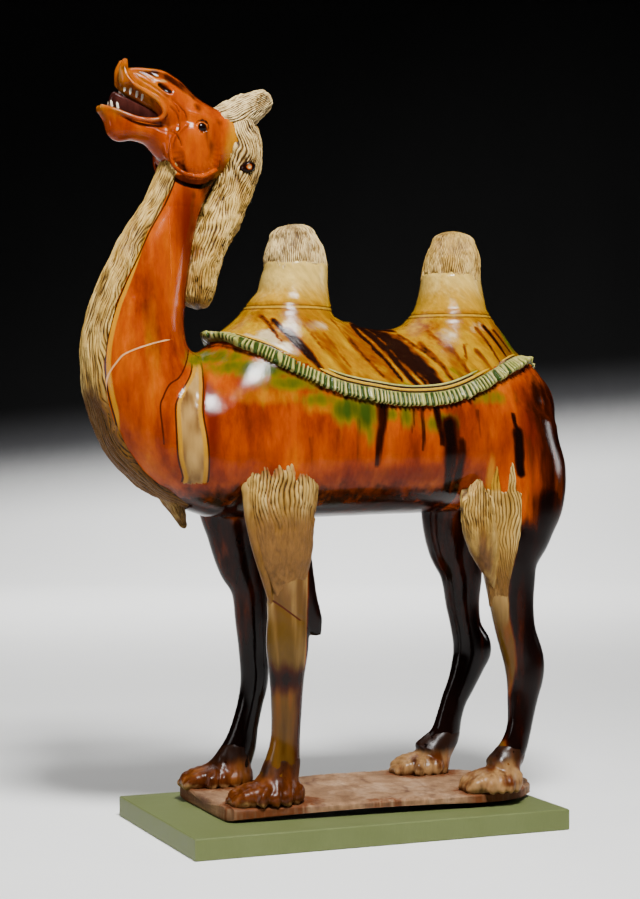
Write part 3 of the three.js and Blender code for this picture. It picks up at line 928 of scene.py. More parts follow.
def off_stretch(flat, start, along):
    """Distance of places from a straight stretch, and the share of the way along it."""
    share = np.clip((flat - start) @ along / (along @ along), 0, 1)
    gap = flat - start - share[:, None] * along
    return np.hypot(gap[:, 0], gap[:, 1]), share


def line_distance(points, line):
    """Distance of points from a line of x and z places, seen from the side."""
    flat = points[:, [0, 2]]
    fine = spline(line, np.linspace(0, 1, 12 * len(line)))
    nearest = np.full(len(points), 1e3)
    for start, end in zip(fine[:-1], fine[1:]):
        nearest = np.minimum(nearest, off_stretch(flat, start, end - start)[0])
    return nearest


def climb(line):
    """Fine x and z places of a line that runs down, from its foot up."""
    return spline(line, np.linspace(0, 1, 100))[::-1].T


def beside(points, line, away=False):
    """Signed distance of points beside a line that runs down; far off past its ends and where
    away."""
    line_x, line_z = climb(line)
    x, z = points[:, 0], points[:, 2]
    slope = np.interp(z, line_z, np.gradient(line_x, line_z))
    off = (x - np.interp(z, line_z, line_x)) / np.hypot(1, slope)
    away = away | (z < line_z[0]) | (z > line_z[-1])
    return off + np.where(off < 0, -FAR_OFF, FAR_OFF) * away


def x_of_line(line, z):
    """Where a line of x and z places, which runs down, stands at each height."""
    line_x, line_z = climb(line)
    return np.interp(z, line_z, line_x)


def patches(points, table):
    """Amount from 0 to 1 of soft patches at points; the right side wears them a little further
    back."""
    amount = np.zeros(len(points))
    x = points[:, 0] - SHIFT_BACK * smooth(-15, 15, points[:, 1])
    for at, height, reach, rise, strength in table:
        far = np.hypot((x - at) / reach, (points[:, 2] - height) / rise)
        amount = np.maximum(amount, strength * smooth(1.9, 0.2, far))
    return amount


def runs(points, table):
    """Amount from 0 to 1 of runs of glaze: each from one x and z place to another, with a half
    width and a strength; the right side wears them a little further back."""
    amount = np.zeros(len(points))
    wander = SHIFT_BACK * smooth(-15, 15, points[:, 1]) + 2.4 * noise3(points, 15, 99)
    flat = points[:, [0, 2]] - np.stack([wander, 0 * wander], axis=1)
    for x0, z0, x1, z1, width, strength in table:
        far, share = off_stretch(flat, np.array([x0, z0]), np.array([x1 - x0, z1 - z0]))
        far = far / (width * (1 - 0.45 * share))
        amount = np.maximum(amount, strength * smooth(2.2, 0.4, far))
    return amount


def strip_edge(points):
    """How far behind the edge of the throat's hair strip points of the neck are."""
    distance, reach = zip(*STRIP_REACH)
    fine = np.linspace(0, distance[-1], 60)
    run = Run(NECK, fine)
    line = run.points((math.pi - np.interp(fine, distance, reach))[:, None])[:, 0]
    behind = points[:, 0] - np.interp(points[:, 2], line[::-1, 2], line[::-1, 0])
    return np.where((points[:, 0] < -170) & (points[:, 2] > 388), behind, 60.0)


def volume(points, quads, triangles):
    """Signed volume of a closed skin."""
    fans = [quads[:, [0, 1, 2]], quads[:, [0, 2, 3]], triangles]
    total = 0.0
    for fan in fans:
        a, b, c = (points[fan[:, k]] for k in range(3))
        total += float(np.einsum("ij,ij->i", a, np.cross(b, c)).sum()) / 6
    return total


def faced_out(skin):
    """The skin with its faces turned outward."""
    points, quads, triangles = skin
    if volume(*skin) < 0:
        quads, triangles = quads[:, ::-1], triangles[:, ::-1]
    return points, quads, triangles


def grown(rows, amount):
    """A table with every half size greater by the amount."""
    return [(*row[:3], *(half + amount for half in row[3:6])) for row in rows]


def flank_at(x):
    """The trunk's middle height, half height and half width at places along it."""
    fine = spline(TRUNK, np.linspace(0, 1, 500))
    return tuple(np.interp(x, fine[:, 0], fine[:, k]) for k in (2, 3, 5))


def hem_points(count):
    """Points of the cloth's hem right round the back at equal spacing, which way is out and down
    there, and the hem's length."""
    share = (1 - np.cos(np.linspace(0, math.pi, 241))) / 2
    line = spline(HEM, share)
    middle, height, width = flank_at(line[:, 0])
    rise = np.minimum(1, line[:, 1])
    reach = width * np.sqrt(1 - rise * rise)
    right = np.stack([line[:, 0], reach, middle + height * rise], axis=1)
    loop = np.vstack([right, right[-2:0:-1] * (1, -1, 1)])
    loop = np.vstack([loop, loop[:1]])
    run = np.concatenate([[0], np.cumsum(np.linalg.norm(np.diff(loop, axis=0), axis=1))])
    places = np.linspace(0, run[-1], count, endpoint=False)
    points = np.stack([np.interp(places, run, loop[:, k]) for k in range(3)], axis=1)
    along = unit(np.roll(points, -1, axis=0) - np.roll(points, 1, axis=0))
    middle, height, width = flank_at(points[:, 0])
    rise = (points[:, 2] - middle) / height**2
    out = unit(np.stack([0 * middle, points[:, 1] / width**2, rise], axis=1))
    out = unit(out - along * np.sum(out * along, axis=1, keepdims=True))
    return points, out, np.cross(out, along), run[-1]


def above_hem(points):
    """How far points are inside the saddle cloth's hem, negative outside it."""
    hem = hem_points(420)[0]
    nearest = np.full(len(points), 1e6)
    for place in hem:
        nearest = np.minimum(nearest, np.einsum("ij,ij->i", points - place, points - place))
    line = spline(HEM, np.linspace(0, 1, 300))
    middle, height, _ = flank_at(points[:, 0])
    share = np.interp(points[:, 0], line[:, 0], np.minimum(1, line[:, 1]))
    inside = points[:, 2] > middle + height * share
    inside &= (points[:, 0] > HEM_FRONT) & (points[:, 0] < HEM_REAR)
    return np.where(inside, 1, -1) * np.sqrt(nearest)


def body_skin(grain):
    """Trunk, neck, humps, legs and tail pressed together."""
    clay = Clay((-306, -112, -6), (292, 112, 668), grain, 24)
    clay.add(limb(TRUNK, 4, (14, 12)))
    clay.add(limb(NECK, 4), 22)
    clay.add(limb(FRONT_HUMP, 4, (13, 8)), 16)
    clay.add(limb(BACK_HUMP, 4, (12, 8)), 16)
    for leg in (NEAR_FORELEG, FAR_FORELEG):
        clay.add(limb(leg, 4), 14)
    for leg in (NEAR_HINDLEG, FAR_HINDLEG):
        clay.add(limb(leg, 4), 18)
    clay.add(limb(TAIL, 3), 6)
    for tuft in (ELBOW_TUFT, left(ELBOW_TUFT)):
        clay.add(limb(tuft, 3, (8, 4)), 5)
    for groove in (THIGH_GROOVE, left(THIGH_GROOVE)):
        clay.cut(limb(groove, 2, (6, 6)), 3)
    return faced_out(clay.skin())


def body_marks(points):
    """The glaze's patches over the body, with painted shade under the belly, under the frill,
    behind the throat's strip and in the shoulder's crease, as values at its points, with two
    distances that shape the clay: how far inside the shoulder strap's edge a point is, and inside
    the cloth's hem."""
    x, y, z = points.T
    cloth = above_hem(points)
    near, fore = y < 0, x < FORE_END
    strap = np.minimum(x - x_of_line(SHOULDER_FRONT, z), x_of_line(SHOULDER_REAR, z) - x) - 1.5
    strap = np.where((z < 497) & (z > 356), strap, -30.0)
    collar = z - np.where(x < HUMPS_PART, *COLLAR_HEIGHTS)
    behind = strip_edge(points)
    trunk = smooth(-262, -240, x)
    # Under the belly the dark mark is partly darker glaze and partly painted shade.
    belly = smooth(372, 335, z) * smooth(296, 304, z) * trunk
    belly = belly * np.where(near, smooth(125, 105, x), 1)
    leg = smooth(*LEG_TOP, z)
    shin = leg * smooth(*SHIN_TOP, z)
    tuft = smooth(-76, -68, x) * smooth(308, 292, z) * fore
    sleeve = near * fore * leg * smooth(126, 134, z) * (1 - tuft)
    knee = near * fore * along_line(z - KNEE, 21)
    streak = np.clip(0.3 + noise3(points * (1, 1, 0.15), 7, 73), 0, 1)
    thigh = near * smooth(116, 124, x) * smooth(6, -4, x - x_of_line(THIGH_STRAW, z))
    thigh = thigh * smooth(300, 260, z)
    stripe = near * ~fore * leg * smooth(4, -6, x - x_of_line(SHIN_STRIPE, z))
    far_leg = smooth(328, 306, z) * ~near
    rear = near * ~fore * smooth(330, 290, z) * smooth(-7, 0, x - x_of_line(SHIN_STRIPE, z))
    dark = np.maximum(runs(points, DARK) * np.where(near, 1, 0.8), 0.85 * belly)
    # Just below the frill: partly dark glaze, partly painted shadow that the frill casts on the
    # flank.
    dark = np.maximum(dark, 0.75 * along_line(cloth + 19, 3))
    dark = dark * (1 - 0.9 * stripe) * (1 - sleeve) * (1 - thigh)
    dark = np.maximum.reduce([dark, rear, far_leg * (0.85 + 0.2 * smooth(200, 120, z))])
    dark = np.maximum(dark, near * fore * shin * (0.3 + 0.5 * smooth(-90, -76, x)))
    dark = np.maximum.reduce([dark, 0.95 * knee, tuft])
    soil = smooth(0, 4, strap) * (0.5 + 0.7 * noise3(points * (1, 1, 0.4), 8, 97))
    return {
        "green": patches(points, GREEN) * (cloth < 8),
        "dark": dark,
        "straw": np.maximum.reduce([smooth(-3, 3, strap), sleeve, thigh * smooth(150, 220, z)]),
        "olive": np.maximum.reduce([
            sleeve * (0.25 + 0.6 * smooth(250, 150, z) + 0.3 * streak),
            0.9 * stripe * smooth(280, 170, z),
            0.8 * near * fore * shin,
        ]),
        "yellow": patches(points, YELLOW),
        "red": np.maximum(patches(points, RED), 0.5 * far_leg),
        "soil": soil + sleeve * (0.4 + streak),
        "strap": strap,
        "strap_edge": strap - 2,
        "strap_line": strap + 1.5,
        "border": behind - 3.4 + 8 * smooth(560, 660, z) + 8 * smooth(440, 394, z),
        # A dark line just behind the throat strip's raised edge: painted shadow.
        "edge": behind - 0.5 + 4 * smooth(430, 394, z),
        "crack": beside(points, CRACK, y > 20),
        # The fold's dark line is painted shade in the shoulder's crease; on the near foreleg it is
        # a crack in the glaze.
        "fold": np.where(z > 320, beside(points, FOLD), beside(points, LEG_CRACK, ~near)),
        "cloth": cloth,
        "collar": np.where(z > 515, collar, -40),
        "cloth_brown": runs(points, CLOTH_BROWN),
        "hump": smooth(548, 600, z) * (1 - 0.25 * (x > HUMPS_PART)),
        "cloth_cream": patches(points, CLOTH_CREAM),
        "cloth_green": patches(points, CLOTH_GREEN),
    }


def make_body(grain):
    """The camel's body, with its saddle cloth as raised clay under a glaze of its own."""
    points, quads, triangles = body_skin(grain)
    marks = body_marks(points)
    strap, cloth = marks.pop("strap"), marks.pop("cloth")
    swell = 0.5 * noise3(points, 42, 3) + 0.2 * noise3(points, 13, 5)
    swell += 1.2 * smooth(-2, 2, strap) + 0.9 * along_line(strap - 2, 1.2)
    combed = 0.5 * smooth(1, 4, strap) * noise3(points * (1, 1, 0.3), 4, 93)
    swell += combed - 0.9 * along_line(marks["fold"], 2.5)
    swell += 1.2 * smooth(0, 5, cloth)
    bald = np.where(points[:, 0] < HUMPS_PART, *CAP_HEIGHTS)
    swell -= 3.5 * smooth(0, 5, points[:, 2] - bald) * (points[:, 0] > -120)
    for ring in (-5, 0, 5):
        swell += 0.8 * along_line(marks["collar"] - ring, 1.6)
    skin = swollen(points, quads, triangles, swell)
    body = make_piece("body", skin, [BODY_GLAZE, CLOTH_GLAZE], marks)
    on_cloth = cloth[quads].mean(axis=1) > 0
    body.data.polygons.foreach_set("material_index", on_cloth.astype(np.int32))
    return body


def head_skin(grain):
    """Head and the top of the neck, with lips, brows, eyes, ears, nostrils and jowls."""
    clay = Clay((-300, -46, 640), (-84, 46, 836), grain, 12)
    clay.add(limb(SKULL, 2, (4, 16)))
    clay.add(limb(grown(NECK[:4], 0.4), 3, (8, 2)), 10)
    for side in (list, left):
        clay.cut(limb(side(JOWL_GROOVE), 1.2, (3, 3)), 1.5)
    clay.add(limb(JAW, 2, (4, 8)), 3)
    clay.add(limb(PALATE, 2, (3, 8)), 2)
    for side in (list, left):
        clay.add(limb(side(CHEEK), 2, (9, 9), squareness=3.2), 2)
        clay.add(limb(side(JOWL_RIDGE), 1, (3, 3)), 1.5)
        clay.add(limb(side(NOSTRIL_RIM), 1, (2, 2)), 2)
        clay.add(limb(side(UPPER_LIP), 1.5, (4, 8)), 3)
        clay.add(limb(side(LIP_ROLL), 1.5, (3, 3)), 2.5)
        clay.add(limb(side(BROW), 1.5, (3, 3)), 3)
        clay.add(limb(side(EAR), 1.5, (4, 3)), 2.5)
        clay.cut(limb(side(EAR_HOLE), 1, (2, 2)), 1.5)
        clay.cut(limb(side(NOSTRIL), 1, (2, 2)), 1.5)
        clay.cut(limb(side(LIP_GROOVE), 1, (2, 2)), 2)
        socket = [(x, y + 3, z, a, b, c) for x, y, z, a, b, c in grown(EYEBALL, 0.8)]
        clay.cut(limb(side(socket), 1, (2, 2)), 2)
        clay.add(limb(side(EYEBALL), 1, (3, 3)), 0.6)
    return faced_out(clay.skin())


def make_head(grain):
    """The head in amber glaze, its wrinkles drawn into the clay."""
    points, quads, triangles = head_skin(grain)
    x, y, z = points.T
    side = smooth(8, 16, np.abs(y))
    wrinkles = [line_distance(points, line) for line in MUZZLE_LINES]
    swell = 0.3 * noise3(points, 16, 7)
    for distance in wrinkles:
        swell -= 1.3 * side * along_line(distance, 1.2)
    across, up = x - CHEEK_MIDDLE[0], z - CHEEK_MIDDLE[1]
    radius = np.hypot(across, up)
    rays = np.cos(np.arctan2(up, across) * 26) * smooth(10, 20, radius) * smooth(34, 28, radius)
    swell += 0.25 * (rays * smooth(735, 715, z)) * side
    swell -= 3.2 * smooth(666, 646, z)
    eye = np.hypot(x - EYE_MIDDLE[0], z - EYE_MIDDLE[1])
    ear = np.hypot(x - EAR_MIDDLE[0], z - EAR_MIDDLE[1])
    groove, slit, lips = (
        line_distance(points, [(row[0], row[2]) for row in rows])
        for rows in (JOWL_GROOVE, NOSTRIL, LIP_ROLL)
    )
    front = smooth(-150, -200, x)
    lid = smooth(1.4, 0.6, np.abs(eye - 7.6)) * smooth(748, 752, z + 0.4 * (x - EYE_MIDDLE[0]))
    under_lip = smooth(-228, -262, x) * smooth(6, 2, np.abs(z - 772)) * smooth(14, 9, np.abs(y))
    dark = [
        smooth(5.4, 4, eye),
        # painted shadow under the cheek's lower edge
        smooth(3.4, 1.6, groove),
        # painted shade in the nostril's hole
        0.9 * smooth(3.4, 1.8, slit),
        # painted shade in the wrinkles' creases
        0.5 * smooth(1.6, 0.6, np.minimum.reduce(wrinkles)),
        # painted shade in the fold of the upper lid
        0.8 * lid,
        0.75 * smooth(-150, -190, x) * smooth(0, 8, z - np.interp(x, *zip(*FOREHEAD))),
        0.8 * np.clip(noise3(points, 9, 91), 0, 1),
        # painted shade inside the open mouth, between the jaws
        0.75 * under_lip,
    ]
    pale = [
        # painted highlight along the lip rolls
        0.4 * smooth(4, 1.5, lips),
        0.5 * smooth(7, 6.4, eye) * smooth(5, 5.6, eye),
        # painted highlight in the middle of the ear
        0.8 * smooth(3.2, 1.8, ear),
        # painted highlights on the upper lip's front and the nostril's rim
        0.6 * patches(points, PAINTED_LIP_HIGHLIGHTS),
        0.3 * front * smooth(742, 770, z),
        smooth(-128, -122, x) * smooth(732, 740, z),
    ]
    dark = side * np.maximum.reduce(dark)
    snout = smooth(-205, -235, x) * smooth(740, 775, z)
    lines = ("border", "strap_edge", "strap_line", "crack", "fold")
    marks = {key: 0 * x + FAR_OFF for key in lines}
    marks |= {
        # Dark round the ear's middle: painted shade of its hollow and the shadow below it.
        "dark": np.maximum(dark, smooth(17, 13, ear) * smooth(2.4, 3.6, ear)),
        # Straw here also holds painted highlights on the lips, the nostril's rim and the ear.
        "straw": np.maximum.reduce(pale),
        # The same painted shadow behind the throat strip's edge, on the neck under the head.
        "edge": np.where(z < 692, strip_edge(points) - 0.5, FAR_OFF),
        "yellow": np.maximum(patches(points, YELLOW), 0.45 * snout),
        "red": np.maximum(patches(points, RED), 0.3 * front),
    }
    return make_piece("head", swollen(points, quads, triangles, swell), [BODY_GLAZE], marks)


def make_mouth():
    """Tongue, gums and teeth between the open jaws."""
    tongue = limb(TONGUE, 1.2, (4, 8))
    make_piece("tongue", tongue, [MOUTH_GLAZE])
    for number, (x, y, z) in enumerate(TEETH):
        for side, name in ((1, "right"), (-1, "left")):
            down = -1 if z > BITE else 1
            rows = [
                (x, side * y, z - 4 * down, 1.5, 1.5, 1.3),
                (x - 0.5, side * y, z, 1.6, 1.5, 1.3),
                (x - 1, side * y, z + 2 * down, 0.8, 0.8, 0.8),
            ]
            make_piece(f"tooth_{number}_{name}", limb(rows, 0.7, (1, 1)), [TOOTH_GLAZE])


def foot_skin(name, grain):
    """A broad pad with lumpy toes, and the start of its shank."""
    x, y, length, *_, leg = FEET[name]
    heel, tip = x + 0.5 * length + 18, x - 0.5 * length - 14
    clay = Clay((tip, y - 36, -7), (heel, y + 36, 78), grain, 12)
    pad = [
        (x - 0.5 * length, y, 6, 5, 10, 15),
        (x - 0.35 * length, y, 8, 11, 12, 21),
        (x - 0.12 * length, y, 9, 16, 13, 24),
        (x + 0.15 * length, y, 9, 17, 13, 24),
        (x + 0.36 * length, y, 8, 13, 12, 18),
    ]
    clay.add(limb(pad, 2, (6, 9)))
    clay.add(limb(leg[-4:], 2), 7)
    for side in (-1, 1):
        toe = [
            (x - 0.53 * length, y + side * 9, 4, 4, 7, 6),
            (x - 0.42 * length, y + side * 12, 8, 8, 10, 8.5),
            (x - 0.2 * length, y + side * 13, 13, 8, 10, 9),
            (x + 0.02 * length, y + side * 13, 17, 5, 8, 8),
        ]
        clay.add(limb(toe, 1.5, (5, 4)), 2)
        for k, at in enumerate((-0.2, -0.02, 0.14, 0.3)):
            lump = [
                (x + at * length - 4, y + side * (24 - 5 * (k == 3)), 3, 5, 8, 4),
                (x + at * length, y + side * (22 - 5 * (k == 3)), 9, 7, 8, 6),
                (x + at * length + 5, y + side * (16 - 4 * (k == 3)), 17, 5, 6, 5),
            ]
            clay.add(limb(lump, 1.5, (3, 3)), 2)
    return faced_out(clay.skin())


def make_foot(name, grain):
    """One foot in thin amber glaze over buff clay."""
    points, quads, triangles = foot_skin(name, grain)
    ridges = np.cos(0.75 * points[:, 0] + 5 * noise3(points, 26, 11))
    swell = 0.35 + 0.25 * ridges * smooth(40, 22, points[:, 2]) + 0.8 * noise3(points, 8, 13)
    swell -= 2.6 * smooth(44, 58, points[:, 2])
    dark, bare = FEET[name][3:5]
    bare = np.clip(0.8 * smooth(9, 0, points[:, 2]) + bare, 0, 1)
    marks = {
        "dark": dark * smooth(10, 42, points[:, 2]) + 0.3 * noise3(points, 18, 15),
        "straw": bare + 0.5 * noise3(points, 11, 17),
        # Depth darkens the low places between the lumps, as painted shade.
        "depth": swell,
    }
    return make_piece(name, swollen(points, quads, triangles, swell), [FOOT_GLAZE], marks)


def hair_limb(
    rows, step, caps, seed, depth, pitch=3.2, sway=1.0, dash=13, start=None, finish=None, melt=None
):
    """Combed hair over a limb-shaped mass: its skin, and how deep in a gap each point lies. It can
    start or finish in ragged tips about a distance from its ends, or melt into smooth clay between
    the first two distances and sink away by the third."""
    girth = girth_of(rows)
    strands = round(girth / pitch)
    gaps = []

    def relief(turn, along):
        turn, along = np.broadcast_arrays(turn, along)
        height, gap = comb(strands, turn, along, seed, depth, sway, dash)
        period = max(3, round(strands / 1.7))
        jag = value_noise(turn * period, 0 * turn, seed + 7, period)
        if start is not None:
            ragged = start * (0.2 + 1.6 * jag)
            height = height - 7 * smooth(ragged + 3, ragged - 2, along)
        if finish is not None:
            ragged = finish * (0.86 + 0.26 * jag)
            height = height - 6 * smooth(ragged - 1, ragged + 2, along)
        if melt is not None:
            fade = smooth(melt[1], melt[0], along)
            height = height * fade - 10 * smooth(melt[1] - 12, melt[2], along)
            gap = gap * (0.15 + 0.85 * fade)
        gaps.append(gap)
        return height

    skin = limb(rows, step, caps, relief=relief, around=round(girth / pitch * 4))
    return skin, np.concatenate([gaps[0].ravel(), [0.5, 0.5]])


def clumped(skin, gap, amount, seed):
    """A skin of combed hair pushed in and out in small clumps; its gaps darken where it is low, as
    painted shade.
    """
    points, quads, triangles = skin = faced_out(skin)
    push = noise3(points, 9, seed) + 0.6 * noise3(points, 3.6, seed + 1)
    points = points + normals_of(*skin) * (amount * push)[:, None]
    return (points, quads, triangles), gap - 0.12 * push


def make_hair(name, rows, step, caps, seed, depth, tint, clump=0.8, **edges):
    """One mass of combed hair in straw slip."""
    skin, gap = clumped(*hair_limb(rows, step, caps, seed, depth, **edges), clump, seed + 40)
    return make_piece(name, skin, [HAIR_SLIP], {"gap": gap, **tint(skin[0])})


def make_throat_strip():
    """The strip of combed hair that stands before the throat, from chin to chest."""
    gaps = []

    def lift(share, along):
        share, along = np.broadcast_arrays(share, along)
        wander = 0.03 * (value_noise(along / 15, 0 * along, 31) - 0.5)
        reach = np.interp(along, *zip(*STRIP_REACH)) / (2 * STRIP_SPAN)
        edge = reach - np.abs(share - 0.5) + wander
        height, gap = comb(34, share * 0.999, along, 21, 2.0, dash=10)
        height = height + 6
        height = height * smooth(0.0, 0.05, edge) - 4 * smooth(0.02, -0.03, edge)
        height = height - 8 * smooth(10, 0, along)
        gaps.append(gap)
        return height

    angles = np.linspace(math.pi - STRIP_SPAN, math.pi + STRIP_SPAN, STRIP_ROWS)
    skin = shell(NECK, STRIP_SHARE, angles, STRIP_STEP, lift, 4)
    points = skin[0]
    low = smooth(520, 390, points[:, 2])
    gap = np.concatenate([gaps[0], np.ones_like(gaps[0])], axis=1).ravel()
    skin, gap = clumped(skin, gap, 0.7, 35)
    dark = 1.6 * low + 0.3 * noise3(points, 30, 33)
    marks = {"gap": gap + 0.15 * low, "dark": dark, "green": 0.3 * low}
    return make_piece("throat_hair", skin, [HAIR_SLIP], marks)


def make_frill(width):
    """The saddle cloth's pleated frill, of pleats of a width, and the two ridges of its border."""
    pleats = round(hem_points(200)[3] / width)
    count = pleats * PLEAT_POINTS
    points, out, down, _ = hem_points(count)
    turn = np.arange(count) / PLEAT_POINTS
    uneven = turn + 1.3 * value_noise(turn * 0.6, 0 * turn, 43, round(pleats * 0.6))
    ragged = value_noise(turn * 0.8, 0 * turn, 41, round(pleats * 0.8))
    lean = np.cos(math.pi * (points[:, 0] - HEM_FRONT) / (HEM_REAR - HEM_FRONT))
    lean = lean * np.where(points[:, 1] < 0, 1, -1)
    rings, depths = [], []
    for below, proud in FRILL_SECTION:
        fold = smooth(1.5, 5, below) * (proud > 0)
        wave = np.cos(2 * math.pi * (uneven + 0.04 * below * lean))
        sharp = 2 * (0.5 + 0.5 * wave) ** 1.5 - 1
        height = proud + fold * 1.9 * sharp * (0.25 + 1.2 * ragged)
        fall = below + (2.6 * (ragged - 0.5) + 0.8 * sharp) * smooth(9, 15, below)
        rings.append(points + down * fall[:, None] + out * height[:, None])
        depths.append(fold * sharp * (0.4 + 0.9 * ragged))
    quads = tube(count, len(FRILL_SECTION), looped=True)
    skin = faced_out((np.stack(rings, axis=1).reshape(-1, 3), quads, NO_TRIANGLES))
    below = np.tile([row[0] for row in FRILL_SECTION], count)
    lines = [smooth(1.3, 0.5, np.abs(below - at)) for at in BORDER_LINES]
    marks = {
        "hollow": 0.5 - 0.5 * np.stack(depths, axis=1).ravel() - 0.6 * (below < 1.2),
        "line": np.maximum.reduce(lines),
        "gold": smooth(1.8, 0.9, np.abs(below + 1.6)),
    }
    return make_piece("saddle_frill", skin, [FRILL_GLAZE], marks)


def make_slab():
    """The fired slab under the feet, a little warped and worn at its edges."""
    half = SLAB_THICKNESS / 2
    low, high = SLAB_PLAN[0][0], SLAB_PLAN[-1][0]
    rows = []
    for x, middle, width in SLAB_PLAN:
        rise = SLAB_ARCH * math.sin(math.pi * (x - low) / (high - low))
        rows.append((x, middle, -half, half, half - rise, width))
    points, quads, triangles = faced_out(limb(rows, 2.8, (3, 3), squareness=7, around=220))
    out = normals_of(points, quads, triangles)
    rough = 0.6 * noise3(points, 24, 51) + 0.7 * noise3(points, 7, 53)
    rough += 0.4 * noise3(points, 3.2, 59)
    stretched = points * (0.12, 1, 2)
    rough += 0.5 * noise3(stretched, 5, 57) * smooth(-1, -3, points[:, 2])
    rough = np.where(out[:, 2] < -0.3, np.minimum(rough, 0) * 0.3 - 0.1, rough - 0.5)
    points = points + out * rough[:, None]
    splash = 0.75 * smooth(40, 10, np.abs(points[:, 0] - 20)) * smooth(-60, -80, points[:, 1])
    for x, y, length, *_ in FEET.values():
        far = np.hypot((points[:, 0] - x) / (0.72 * length), (points[:, 1] - y) / 34)
        splash = np.maximum(splash, smooth(1.35, 0.75, far))
    # Depth darkens the slab's pits, as painted shade.
    marks = {"splash": splash, "depth": rough}
    return make_piece("slab", (points, quads, triangles), [BARE_CLAY], marks)


def make_all_hair(step):
    """Every mass of combed hair."""
    make_throat_strip()
    make_hair("chest_hair", CHEST_TUFT, step, (8, 8), 61, 1.8, tint=chest_tint)
    make_hair("crest_hair", CREST_HAIR, step, (6, 12), 62, 1.5, tint=mane_tint, dash=6, clump=1.3)
    make_hair("mane_hair", MANE_HAIR, step, (8, 17), 63, 2.2, tint=mane_tint, dash=7, clump=1.3)
    cap = {"tint": cap_tint, "pitch": 2.5, "sway": 0.8, "dash": 4, "clump": 0.7}
    make_hair("front_hump_hair", grown(FRONT_HUMP[:4], 1), step, (13, 4), 64, 1.3, finish=41, **cap)
    make_hair("back_hump_hair", grown(BACK_HUMP[:4], 1), step, (12, 4), 65, 1.3, finish=44, **cap)
    coat = {"tint": leg_tint, "pitch": 4.0, "sway": 0.5, "dash": 7, "start": 22}
    coat["melt"] = (60, 120, 180)
    make_hair("near_foreleg_hair", left(FORELEG_HAIR), step, (8, 14), 66, 1.9, **coat)
    make_hair("far_foreleg_hair", FAR_FORELEG_HAIR, step, (8, 14), 67, 1.8, **coat)
    coat["melt"] = (50, 90, 150)
    make_hair("near_thigh_hair", left(THIGH_HAIR), step, (8, 8), 68, 1.7, **coat)
    make_hair("far_thigh_hair", FAR_THIGH_HAIR, step, (8, 8), 69, 1.6, **coat)
    points, quads, triangles = limb(left(FORELEG_ROLL), 1.6, (5, 5))
    low = smooth(350, 280, points[:, 2])
    marks = {
        "amber": 0.5 * low,
        "gap": 0.3 + 0.3 * noise3(points, 8, 81),
        "sleeve": 0.4 + 0.6 * low,
        "dark": 0.5 * low,
    }
    make_piece("near_foreleg_roll", faced_out((points, quads, triangles)), [HAIR_SLIP], marks)
    make_thigh_patch("near_thigh_patch", -1)
    make_thigh_patch("far_thigh_patch", 1)


def flank_map(side):
    """How far out the body's side stands over the patch's grid of x and z places."""
    body = bpy.data.objects.get("body")
    if body is None:
        raise RuntimeError("make the body before the hair that is laid on it")
    spots = np.empty(3 * len(body.data.vertices))
    body.data.vertices.foreach_get("co", spots)
    facing = np.empty_like(spots)
    body.data.vertex_normals.foreach_get("vector", facing)
    points = spots.reshape(-1, 3) / MM - (0, 0, SLAB_TOP)
    facing = facing.reshape(-1, 3)[:, 1] * side
    column = np.floor((points[:, 0] - PATCH_CORNER[0]) / PATCH_CELL).astype(int)
    row = np.floor((points[:, 2] - PATCH_CORNER[1]) / PATCH_CELL).astype(int)
    use = (facing > 0.25) & (points[:, 1] * side > 30)
    use &= (column >= 0) & (column < PATCH_CELLS[0]) & (row >= 0) & (row < PATCH_CELLS[1])
    total, count = np.zeros(PATCH_CELLS), np.zeros(PATCH_CELLS)
    np.add.at(total, (column[use], row[use]), points[use, 1] * side)
    np.add.at(count, (column[use], row[use]), 1)
    shifts = [(a, b) for a in (-1, 0, 1) for b in (-1, 0, 1)]
    for _ in range(12):
        both = np.stack([total, count])
        wide = sum(np.roll(np.roll(both, a, 1), b, 2) for a, b in shifts)
        total = np.where(count > 0, total, wide[0])
        count = np.where(count > 0, count, wide[1])
    out = total / np.maximum(count, 1e-6)
    return (out + sum(np.roll(out, turn, axis) for turn in (-1, 1) for axis in (0, 1))) / 5


